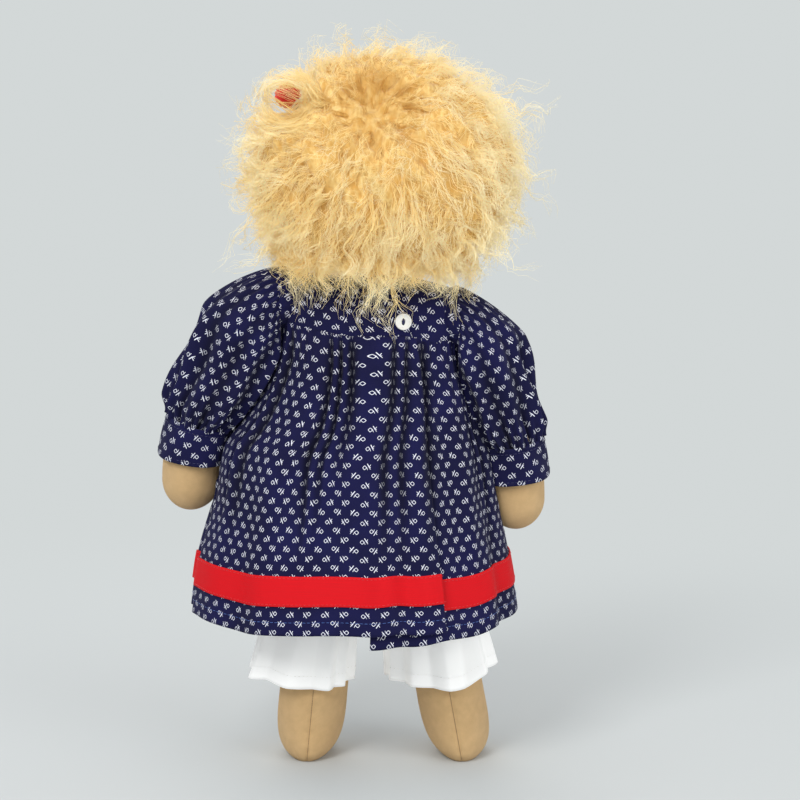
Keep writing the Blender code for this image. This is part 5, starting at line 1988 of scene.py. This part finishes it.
@dataclass
class Bodice:
    """The front and back yokes, the bound neck and the button."""

    torso: Torso
    rows: Pair = (0.762, 1.0)
    ease_out: float = 0.0013
    cloth: float = 0.001
    neck_edges: Pair = (-0.0135, -0.005)
    seam_edges: Pair = (-0.0235, -0.006)
    overlap: float = 0.0016
    button_x: float = -0.0185
    button_share: float = 0.842
    button_radius: float = 0.0046
    button_thickness: float = 0.0017
    slot: Pair = (0.001, 0.0019)
    rim: float = 0.0007
    ring: int = 96
    band: float = 0.006
    band_cloth: float = 0.0013
    thread: float = 0.00017
    thread_half: float = 0.00135

    def patch(self, name: str, edges: Callable[[Array], tuple[Array, Array]], over: bool,
              front: bool, finishes: Finishes) -> None:
        """Makes one piece of the yoke.

        Args:
            name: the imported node.
            edges: gives x along both edges for a share down.
            over: whether it laps over the other half.
            front: whether it is the front.
            finishes: the doll's materials.
        """
        across, down = grid_axes(110, 44)
        share = mix(self.rows[1], self.rows[0], ease(down) * 0.35 + down * 0.65)
        offset = self.ease_out + self.cloth
        a, b = edges(down)
        start = self.torso.angle_at(a, share, offset)
        end = self.torso.angle_at(b, share, offset)
        turn = mix(start, end, across)
        raised = offset + 0.0004 * np.sin(9 * turn + 6 * down) * ease(down)
        if over:
            under = mix(self.neck_edges[1], self.seam_edges[1], down)
            under = self.torso.angle_at(under, share, offset)
            raised = raised + self.overlap * ease((turn - under) / 0.22 + 1)
        sign = -1 if front else 1
        points = self.torso.point(turn * sign, share, raised, self.torso.side_seat + 0.0004)
        uv = arc_uv(points, False)
        piece = cloth_shell(points, uv, self.cloth).to_object(name + "_cloth")
        settle(piece, "torso", finishes.print, [name])

    def build(self, finishes: Finishes) -> None:
        """Makes the yokes, the neck binding and the button.

        Args:
            finishes: the doll's materials.
        """
        limit = self.torso.side_seat + 0.0004
        neck, seam = self.neck_edges, self.seam_edges
        self.patch("back_yoke_left", lambda d: (np.full_like(d, limit), mix(neck[0], seam[0], d)),
                   True, False, finishes)
        self.patch("back_yoke_right", lambda d: (mix(neck[1], seam[1], d), np.full_like(d, -limit)),
                   False, False, finishes)
        self.patch("front_yoke", lambda d: (np.full_like(d, limit), np.full_like(d, -limit)),
                   False, True, finishes)
        self.build_band(finishes)
        self.build_button(finishes)

    def build_band(self, finishes: Finishes) -> None:
        """Makes the bound edge round the neck."""
        _, wide, deep, height = self.torso.section(np.array(1.0), self.ease_out + self.cloth)
        start = math.pi / 2 + math.asin(self.neck_edges[0] / -float(wide)) / 2 + 0.05
        across, down = grid_axes(160, 12)
        turn = start + (TAU - 0.1) * across
        roll = 0.0006 * np.sin(math.pi * down)
        x = self.torso.head_offset + (wide + roll - 0.0002) * np.cos(turn)
        y = (deep + roll - 0.0002) * np.sin(turn)
        z = float(height) - 0.0012 + self.band * (1 - down) + 0 * x
        points = spot(x, y, z)
        cloth = cloth_shell(points, arc_uv(points, False), self.band_cloth)
        piece = cloth.to_object("neck_binding_cloth")
        settle(piece, "torso", finishes.print, ["neckband"])

    def build_button(self, finishes: Finishes) -> None:
        """Makes the dished button with one upright slot, and its thread."""
        lift = self.ease_out + self.cloth + self.overlap
        turn = self.torso.angle_at(np.array(self.button_x), np.array(self.button_share), lift)
        share = np.array(self.button_share)
        seat = self.torso.point(turn, share, lift)
        beside = self.torso.point(turn + 0.05, share, lift)
        above = self.torso.point(turn, share + 0.03, lift)
        right = unit(beside - seat)
        outward = unit(np.cross(above - seat, right))
        outward = outward if outward[1] > 0 else -outward
        up = unit(np.cross(outward, right))
        up = up if up[2] > 0 else -up
        seat = seat + outward * 0.0008
        full, thick, dish = self.button_radius, self.button_thickness, self.button_radius - self.rim
        profile = [(self.slot, 0.0), ((full * 0.82, full * 0.82), 0.0)]
        for k in range(9):
            roll = k / 8 * math.pi
            radius = full - 0.0005 + 0.0005 * math.sin(roll)
            profile.append(((radius, radius), thick / 2 - thick / 2 * math.cos(roll)))
        for k in range(1, 8):
            roll = k / 7
            radius = mix(full - 0.0006, dish * 0.8, roll)
            profile.append(((radius, radius), thick * (1 - 0.3 * float(ease(roll)))))
        profile.append((self.slot, thick * 0.68))
        turns = full_turn(self.ring)
        rings = []
        for (a, b), depth in profile:
            ring = right * (a * np.cos(turns))[:, None] + up * (b * np.sin(turns))[:, None]
            rings.append(seat + ring + outward * depth)
        ring = np.array(rings)
        quads, _ = grid_faces(len(rings), self.ring, True)
        first = np.arange(self.ring)
        last = first + (len(rings) - 1) * self.ring
        close = np.stack([last, np.roll(last, -1), np.roll(first, -1), first], axis=1)
        solid = Solid(ring.reshape(-1, 3), [np.concatenate([quads, close])]).turned_out()
        piece = solid.to_object("pearl_button_disc")
        piece.data.set_sharp_from_angle(angle=math.radians(40))
        settle(piece, "torso", finishes.pearl, ["button"])
        paths = []
        for k in range(5):
            x = (k / 4 - 0.5) * 0.0011
            steps = np.linspace(-1, 1, 9)
            depth = 0.0006 + 0.0002 * (1 - steps**2)
            path = seat + right * x + up * (steps * self.thread_half)[:, None]
            paths.append(path + outward * depth[:, None])
        thread = tubes(np.array(paths), np.array(self.thread)).to_object("button_stitches")
        settle(thread, "torso", finishes.navy_thread, ["button_thread"])


@dataclass
class Seat:
    """The seat of the pantaloons and its elastic waist."""

    torso: Torso
    waist: float = 0.205
    bottom: float = 0.1463
    half_width: float = 0.0478
    half_depth: float = 0.0255
    elastic: float = 0.004
    gathers: int = 36
    cloth: float = 0.0008
    casing: float = 0.0012

    def outline(self, across: Array, height: Array, down: Array, offset: Array) -> Array:
        """Points round the seat at a height."""
        share = np.maximum((height - self.torso.bottom) / self.torso.height, 0.0)
        _, wide, deep, _ = self.torso.section(share, 0.0005 + offset)
        loose = ease(down * 1.6)
        wide = np.maximum(wide, mix(wide, self.half_width + offset, loose))
        deep = np.maximum(deep, mix(deep, self.half_depth + offset, loose))
        turn = across * TAU
        side, back = oval(turn, 2 / self.torso.squareness)
        return spot(wide * side, deep * back, height)

    def build(self, finishes: Finishes) -> None:
        """Makes the seat and the gathered casing.

        Args:
            finishes: the doll's materials.
        """
        across, down = grid_axes(180, 24, True)
        height = mix(self.waist, self.bottom, down)
        ripple = 0.0005 + 0.0005 * np.sin(self.gathers * across * TAU) * (1 - ease(down * 1.5))
        points = self.outline(across, height, down, ripple + 0.0006)
        uv = arc_uv(points, True)
        piece = cloth_shell(points, uv, self.cloth, True).to_object("pantaloon_seat_cloth")
        settle(piece, "torso", finishes.white, ["pantaloon_seat"])
        across, down = grid_axes(220, 10, True)
        height = self.waist + 0.0003 + self.elastic * (1 - down)
        ripple = 0.0007 * (1 + np.sin(self.gathers * across * TAU)) / 2
        ripple = ripple + 0.0008 * np.sin(math.pi * down)
        front = ease(-np.sin(across * TAU) * 2)
        ripple = ripple * (1 - 0.85 * front) - 0.0006 * front
        points = self.outline(across, height, 0 * down, ripple + 0.0008)
        casing = cloth_shell(points, arc_uv(points, True), self.casing, True)
        band = casing.to_object("waist_casing")
        settle(band, "torso", finishes.white, ["waist_elastic"])


class LockTree(GuideTree):
    """Geometry nodes that grow the strands of a lock round each guide line."""

    def __init__(self) -> None:
        """Builds the tree once for every part of the wig."""
        super().__init__(
            "strands_round_guides", Strands="Int", Spread="Float", Frizz="Float", Curl="Float",
            Radius="Float", Seed="Int", Dye="Material",
        )
        n, given = self.nodes, self.given
        copies = {"Geometry": self.curve, "Amount": given["Strands"]}
        many = n.out("GeometryNodeDuplicateElements", copies, domain="SPLINE")
        index = n.out("GeometryNodeInputIndex")
        strand = n.out("GeometryNodeFieldOnDomain", {0: index}, data_type="INT", domain="CURVE")
        chance = {"Min": (-1, -1, -1), "Max": (1, 1, 1), "ID": strand, "Seed": given["Seed"]}
        aside = n.out("FunctionNodeRandomValue", chance, data_type="FLOAT_VECTOR")
        along = n.out("GeometryNodeSplineParameter")
        open_up = n.math("MULTIPLY_ADD", along, along, 0.35)
        offset = n.vector("SCALE", aside, scale=n.times(given["Spread"], open_up))
        place = n.out("GeometryNodeInputPosition")
        apart = n.vector("SCALE", aside, scale=7.0)
        for size, key, between in ((260.0, "Frizz", 3.0), (75.0, "Curl", 0.12)):
            scaled = n.vector("SCALE", place, scale=size)
            seen = n.vector("ADD", scaled, n.vector("SCALE", apart, scale=between))
            noise = n.add("ShaderNodeTexNoise", {"Vector": seen, "Scale": 1.0, "Detail": 1.0})
            push = n.vector("SUBTRACT", noise.outputs["Color"], (0.5, 0.5, 0.5))
            rise = n.times(given[key], n.plus(along, 0.15))
            offset = n.vector("ADD", offset, n.vector("SCALE", push, scale=rise))
        made = n.out("GeometryNodeSetPosition", {"Geometry": many, "Offset": offset})
        taper = n.minus(1.0, n.times(n.times(along, along), 0.72))
        width = n.times(taper, given["Radius"])
        tone = n.add("FunctionNodeRandomValue", {"ID": strand, "Seed": 91}, data_type="FLOAT")
        for name, value in (("along", along), ("strand", tone.outputs[1])):
            kept = {"Geometry": made, "Name": name, "Value": value}
            made = n.out("GeometryNodeStoreNamedAttribute", kept, data_type="FLOAT", domain="POINT")
        ring = n.out("GeometryNodeCurvePrimitiveCircle", {"Resolution": 3, "Radius": 1.0})
        skin = {"Curve": made, "Profile Curve": ring, "Scale": width, "Fill Caps": True}
        self.close(n.out("GeometryNodeCurveToMesh", skin))


@dataclass
class Wig:
    """Mohair curls sewn to a knitted cap, with longer locks at the nape and a red bobble.

    Attributes:
        tilt: how far the axis behind the crown leans up from the back.
        cap_opening: the angle that the cap leaves open round the face.
        half_sizes: of the curls' outline.
        shift: the outline's middle, from the head's.
        bobble: the bobble's place, from the head's middle.
        parting: how far the curls keep from the bobble.
        crochet: the bobble's rows and the stitches in a row.
        elastic: the radius of the elastic's ring and of the elastic.
    """

    head: HeadForm
    tilt: float = math.radians(42)
    cap_opening: float = math.radians(70)
    coat_opening: float = math.radians(74)
    lock_roots: float = math.radians(106)
    half_sizes: Triple = (0.077, 0.065, 0.0665)
    shift: Triple = (-0.004, 0.005, 0.0035)
    locks: int = 1000
    strands: int = 11
    quick_strands: int = 5
    wisps: int = 300
    steps: int = 14
    sections: int = 7
    nape_locks: int = 250
    seed: int = 11
    bobble: Triple = (0.046, -0.027, 0.0426)
    bobble_radius: float = 0.0073
    cap_cloth: float = 0.001
    cap_lift: float = 0.0018
    crochet: Pair = (8.0, 13.0)
    elastic: Pair = (0.0035, 0.0007)
    elastic_seat: float = 0.0078
    parting: float = 0.0099

    def direction(self, turn: Array, polar: Array) -> Array:
        """Directions from the head's middle, by the angle from the axis behind the crown."""
        pole = np.array([0.0, math.cos(self.tilt), math.sin(self.tilt)])
        up = np.array([0.0, -math.sin(self.tilt), math.cos(self.tilt)])
        side = np.array([1.0, 0.0, 0.0])
        around = side * np.cos(turn)[..., None] + up * np.sin(turn)[..., None]
        return pole * np.cos(polar)[..., None] + around * np.sin(polar)[..., None]

    def outline(self, direction: Array) -> Array:
        """How far the curls' outline lies from the head's middle in a direction."""
        middle, sizes = np.array(self.shift), np.array(self.half_sizes)
        a = ((direction / sizes) ** 2).sum(axis=-1)
        b = (direction * middle / sizes**2).sum(axis=-1)
        c = ((middle / sizes) ** 2).sum() - 1
        return (b + np.sqrt(b * b - a * c)) / a

    def build(self, finishes: Finishes) -> None:
        """Makes the cap, the dense coat, the locks and the bobble.

        Args:
            finishes: the doll's materials.
        """
        widest = math.pi - self.cap_opening
        across, down = grid_axes(128, 60, True)
        polar = mix(0.03, widest, down)
        points = self.head.point(self.direction(across * TAU, polar), self.cap_lift + 0 * polar)
        shell = cloth_shell(points, arc_uv(points, True), self.cap_cloth, True)
        cap = shell.to_object("cap_knit_shell")
        settle(cap, "head", finishes.cap, ["wig_cap"])
        self.build_coat(finishes)
        self.build_locks(finishes)
        self.build_nape(finishes)
        self.build_bobble(finishes)

    def build_coat(self, finishes: Finishes) -> None:
        """Makes the dense, lumpy wool that the strands rise from."""
        across, down = grid_axes(160, 96, True)
        turn, polar = across * TAU, mix(0.01, math.pi - self.coat_opening, down)
        direction = self.direction(turn, polar)
        base = np.linalg.norm(self.head.point(direction) - self.head.centre, axis=-1)
        lumps = sum(
            np.sin(direction @ np.array(v) + k) / (k + 1)
            for k, v in enumerate(((17, 9, -12), (-21, 26, 15), (38, -31, 34), (-57, 49, 61)))
        )
        crown = ease((polar - 0.1) / 0.5)
        bobble = unit(np.array(self.bobble) * (1, 0, 1))
        aside = (direction @ bobble) / np.linalg.norm(direction[..., ::2], axis=-1)
        beside = ease((np.linalg.norm(direction[..., ::2], axis=-1) - 0.72) / 0.2)
        dent = ease((aside - 0.955) / 0.035) * beside
        share = (0.74 + 0.07 * lumps) * mix(0.55, 1.0, crown) * (1 - 0.75 * dent)
        full = base + (self.outline(direction) - base) * share
        floor = self.head.centre[2] - self.head.base - 0.004
        floor = floor / np.maximum(-direction[..., 2], 0.01)
        full = np.minimum(full, floor)
        reach = mix(base + 0.002, np.maximum(full, base + 0.002), ease((1 - down) / 0.16))
        outer = self.head.centre + direction * reach[..., None]
        inner = self.head.centre + direction * (base + 0.0012)[..., None]
        rings = np.concatenate([outer, inner[::-1]])
        piece = lofted(rings).to_object("mohair_coat")
        settle(piece, "head", finishes.coat, ["hair"])

    def guides(self, random: np.random.Generator, count: int, stray: bool) -> list[Array]:
        """Works out the paths of the locks.

        Args:
            random: the seeded source of chance.
            count: how many.
            stray: whether they are the loose outer wisps.

        Returns:
            One path for each lock.
        """
        widest = self.lock_roots
        k = np.arange(count) + 0.5
        polar = np.arccos(mix(math.cos(0.03), math.cos(widest), (k / count) ** 1.3))
        turn = k * math.pi * (3 - math.sqrt(5)) + random.normal(0, 0.05, count)
        t = np.linspace(0, 1, self.steps)[None]
        swing = random.uniform(0.35, 0.85, count) * (1.4 - 1.05 * polar / widest)
        if stray:
            swing = random.uniform(0.05, 0.45, count)
        away = polar[:, None] + swing[:, None] * t**0.9
        away = np.minimum(away, np.radians(random.uniform(108, 124, count))[:, None])
        drift = random.normal(0, 0.16, count)[:, None] * t
        direction = self.direction(turn[:, None] + drift, away)
        roots = self.head.point(direction, 0.0015 + 0 * away)
        base = np.linalg.norm(roots - self.head.centre, axis=-1)
        tuft = 0.06 * np.sin(5 * turn + 1) * np.sin(7 * polar) + random.normal(0, 0.05, count)
        if stray:
            tuft = tuft + random.exponential(0.07, count)
        size = (1.06 if stray else 0.98) + tuft
        fringe = ease(-direction[..., 1] * 2.5) * ease((away - math.radians(92)) / math.radians(26))
        end = mix(self.outline(direction) * size[:, None], base + 0.002, 0.85 * fringe)
        lift = random.uniform(0.4, 0.75, count)[:, None]
        reach = base + np.maximum(end - base, 0.004) * t**lift
        path = self.head.centre + direction * reach[..., None]
        below = ease(-direction[..., 2] * 1.5)
        weight = random.uniform(0.1, 1.0, count)[:, None]
        path[..., 2] -= (0.003 + 0.011 * below) * weight * t**2
        along = unit(np.gradient(path, axis=1))
        first = unit(np.cross(along, random.normal(0, 1, (count, 1, 3))))
        second = np.cross(along, first)
        turns = random.uniform(1.2, 3.2, count)[:, None]
        phase = random.uniform(0, TAU, count)[:, None] + t**1.3 * TAU * turns
        wide = random.uniform(0.0016, 0.005, count)[:, None] * t**0.8
        curl = first * (wide * np.cos(phase))[..., None]
        path += curl + second * (wide * np.sin(phase))[..., None]
        keep = self.head.base - 0.003 + 0.008 * (path[..., 1:2] < 0.01)
        keep = keep + random.exponential(0.003, (count, 1, 1))
        path[..., 2:] = np.maximum(path[..., 2:], keep)
        return list(self.parted(path))

    def parted(self, points: Array) -> Array:
        """Moves points aside from the bobble, so that it shows from behind."""
        bobble = self.head.centre * (0, 0, 1) + self.bobble
        away = (points - bobble) * (1, 0, 1)
        length = np.linalg.norm(away, axis=-1, keepdims=True)
        behind = points[..., 1:2] > bobble[1] - 0.008
        near = (length < self.parting / 0.55) * behind
        outward = unit(away) * (self.parting + 0.45 * length)
        return points + near * (outward - away)

    def build_locks(self, finishes: Finishes) -> None:
        """Grows the locks, section by section, and the stray wisps."""
        tree = LockTree()
        random = np.random.default_rng(self.seed)
        paths = self.guides(random, self.locks, False)
        order = random.permutation(len(paths))
        self.tree = tree
        strands = self.strands
        for part in range(self.sections):
            chosen = [paths[k] for k in order[part :: self.sections]]
            piece = tree.grow(
                f"mohair_locks_{part + 1}", chosen, dye=finishes.mohair, strands=strands,
                spread=0.0025, frizz=0.0014, curl=0.009, radius=0.00016, seed=part,
            )
            settle(piece, "head", finishes.mohair)
        wisps = self.guides(random, self.wisps, True)
        piece = tree.grow(
            "mohair_wisps", wisps, dye=finishes.mohair, strands=6, spread=0.0024, frizz=0.004,
            curl=0.014, radius=0.00013, seed=50,
        )
        settle(piece, "head", finishes.mohair)

    def build_nape(self, finishes: Finishes) -> None:
        """Grows the longer locks that lie on the back of the dress."""
        random = np.random.default_rng(self.seed + 1)
        paths = []
        t = np.linspace(0, 1, 11)
        for _ in range(self.nape_locks):
            side = random.uniform(-1, 1)
            turn = math.pi / 2 - side * math.radians(82)
            length = (0.006 + random.exponential(0.011)) * (1 - 0.6 * side**4)
            length = min(length, 0.040) + 0.012
            if side > -0.2:
                length *= 0.74
            if abs(side + 0.42) < 0.2:
                length = min(length, 0.021)
            start = random.uniform(0.006, 0.016)
            near = 0.030 + 0.014 * random.uniform(0, 1)
            reach = near + (0.010 + 0.006 * random.uniform(-1, 1)) * np.sin(t * 2.2)
            angle = turn + random.normal(0, 0.22) * t
            x = self.head.torso.head_offset + reach * np.cos(angle) * (1 + 0.12 * abs(side))
            path = spot(x, reach * np.sin(angle), self.head.base + start - length * t**1.15)
            wave = random.uniform(0, TAU) + t * TAU * random.uniform(1.2, 2.8)
            wide = random.uniform(0.0015, 0.0035) * t**0.7
            path += spot(wide * np.cos(wave), 0.6 * wide * np.sin(wave), 0 * wave)
            paths.append(path)
        piece = self.tree.grow(
            "mohair_nape", paths, dye=finishes.mohair, strands=8,
            spread=0.0024, frizz=0.003, curl=0.010, radius=0.00013, seed=70,
        )
        settle(piece, "", finishes.mohair, ["hair_nape"])
        base = self.head.base
        Bend("neck", "head", (0.0, 0.0, base - 0.02), (0.0, 0.0, 1 / 0.03)).apply(piece)

    def build_bobble(self, finishes: Finishes) -> None:
        """Makes the crocheted ball and its elastic."""
        centre = self.head.centre * (0, 0, 1) + self.bobble
        across, down = grid_axes(170, 100, True)
        rows, count = self.crochet
        spiral = down * rows + across
        puff = np.abs(np.sin(math.pi * spiral)) ** 0.6
        stitch = np.abs(np.sin(math.pi * (across * count + np.floor(spiral) * 0.5))) ** 0.7
        polar = math.pi * mix(0.02, 0.98, down)
        reach = self.bobble_radius * (0.93 + 0.11 * puff * (0.55 + 0.45 * stitch))
        flat = np.sin(polar)
        turn = across * TAU
        ring = spot(flat * np.cos(turn), flat * np.sin(turn), np.cos(polar))
        piece = lofted(centre + ring * reach[..., None]).to_object("crochet_ball")
        settle(piece, "head", finishes.red, ["hair_bobble"])
        inward = unit(self.head.centre - centre)
        first = unit(np.cross(inward, (0.0, 1.0, 0.0)))
        second = np.cross(inward, first)
        turn = np.linspace(0, TAU, 60)
        radius, thick = self.elastic
        path = centre + inward * self.elastic_seat + first * (radius * np.cos(turn))[:, None]
        path = path + second * (radius * np.sin(turn))[:, None]
        ring = tubes(path[None], np.array(thick), 10).to_object("bobble_elastic_ring")
        settle(ring, "head", finishes.white_thread, ["bobble_elastic"])


@dataclass
class Studio:
    """A plain pale floor, soft lamps and the camera."""

    azimuth: float = 180.0
    elevation: float = 9.0
    distance: float = 1.62
    scale: float = 0.00056
    target: Triple = (-0.0259, 0.0, 0.2055)
    pale: Triple = (0.65, 0.685, 0.685)
    lit: Triple = (0.57, 0.595, 0.595)
    floor_radius: float = 9.0
    floor_sides: int = 96
    sensor: float = 36.0
    photo_width: int = 800

    def build(self) -> None:
        """Makes the floor, the lights and the camera."""
        self.build_camera()
        self.build_floor()
        self.build_world()
        self.lamp("key", (0.8, 1.6, 1.5), 0.8, 24.0)
        self.lamp("fill", (-1.3, 1.2, 0.7), 1.1, 10.0)
        self.lamp("front", (0.3, -1.7, 1.1), 1.3, 14.0)

    def build_camera(self) -> None:
        """Places the camera behind the doll."""
        turn, rise = math.radians(self.azimuth - 90), math.radians(self.elevation)
        level = math.cos(rise)
        away = Vector((math.cos(turn) * level, math.sin(turn) * level, math.sin(rise)))
        target = Vector(self.target)
        data = bpy.data.cameras.new("camera")
        data.sensor_width = self.sensor
        data.lens = self.sensor * self.distance / (self.scale * self.photo_width)
        camera = placed("camera", data)
        camera.location = target + away * self.distance
        camera.rotation_euler = (target - camera.location).to_track_quat("-Z", "Y").to_euler()
        bpy.context.scene.camera = camera

    def build_floor(self) -> None:
        """Makes a round floor that fades into the pale background."""
        mesh = bpy.data.meshes.new("floor")
        turn = full_turn(self.floor_sides)
        ring = spot(self.floor_radius * np.cos(turn), self.floor_radius * np.sin(turn), 0.0)
        mesh.from_pydata(ring.tolist(), [], [tuple(range(self.floor_sides))])
        s = Shader("studio_floor")
        away = s.vector("LENGTH", s.where())
        lit = s.out("ShaderNodeBsdfDiffuse", {"Color": (*self.lit, 1.0), "Roughness": 0.0})
        plain = s.out("ShaderNodeEmission", {"Color": (*self.pale, 1.0), "Strength": 1.0})
        seen = s.add("ShaderNodeLightPath").outputs["Is Camera Ray"]
        share = s.times(s.ramp(away, 0.1, 0.75), seen)
        mixed = s.out("ShaderNodeMixShader", {0: share, 1: lit, 2: plain})
        s.add("ShaderNodeOutputMaterial", {"Surface": mixed})
        mesh.materials.append(s.material)
        placed("floor", mesh)

    def build_world(self) -> None:
        """Makes the even light from all round and the pale background."""
        world = bpy.data.worlds.new("studio")
        world.use_nodes = True
        bpy.context.scene.world = world
        n = Nodes(world.node_tree)
        light = n.out("ShaderNodeBackground", {"Color": (0.97, 0.985, 1.0, 1.0), "Strength": 0.72})
        plain = n.out("ShaderNodeBackground", {"Color": (*self.pale, 1.0), "Strength": 1.0})
        seen = n.add("ShaderNodeLightPath").outputs["Is Camera Ray"]
        mixed = n.out("ShaderNodeMixShader", {0: seen, 1: light, 2: plain})
        n.add("ShaderNodeOutputWorld", {"Surface": mixed})

    def lamp(self, name: str, place: Triple, size: float, power: float) -> None:
        """Adds one soft lamp that faces the doll.

        Args:
            name: the lamp's name.
            place: where it hangs.
            size: the side of its square.
            power: its power in watts.
        """
        data = bpy.data.lights.new(name, "AREA")
        data.size = size
        data.energy = power
        lamp = placed(name, data)
        lamp.location = place
        away = Vector((0, 0, 0.22)) - lamp.location
        lamp.rotation_euler = away.to_track_quat("-Z", "Y").to_euler()


@dataclass
class Doll:
    """The whole doll."""

    finishes: Finishes = field(default_factory=Finishes)
    torso: Torso = field(default_factory=Torso)

    def build(self) -> None:
        """Builds the doll, from the body out to its clothes and curls."""
        stitches = StitchTree()
        left = Arm(Side.LEFT, self.torso, 0.043, 0.0125)
        right = Arm(Side.RIGHT, self.torso, 0.024, 0.0088)
        skirt = Skirt(self.torso, (left, right))
        self.torso.build(self.finishes)
        head = HeadForm(self.torso)
        head.build(self.finishes)
        for arm in (left, right):
            arm.build_arm(self.finishes)
            arm.build_sleeve(self.finishes, skirt, stitches)
        legs = (
            Leg(Side.LEFT, self.torso, 0.0145, -0.008, 0.0095, 0.0035),
            Leg(Side.RIGHT, self.torso, 0.0265, 0.007, -0.003, 0.010),
        )
        for leg in legs:
            leg.build_leg(self.finishes, stitches)
            leg.build_pantaloon(self.finishes, stitches)
        Seat(self.torso).build(self.finishes)
        Bodice(self.torso).build(self.finishes)
        skirt.build(self.finishes, stitches)
        Wig(head).build(self.finishes)


def main() -> None:
    """Builds the studio and the doll."""
    logging.basicConfig(level=logging.INFO, format="%(name)s: %(message)s")
    bpy.context.scene.view_settings.view_transform = "Standard"
    Studio().build()
    Doll().build()


if __name__ == "__main__":
    main()
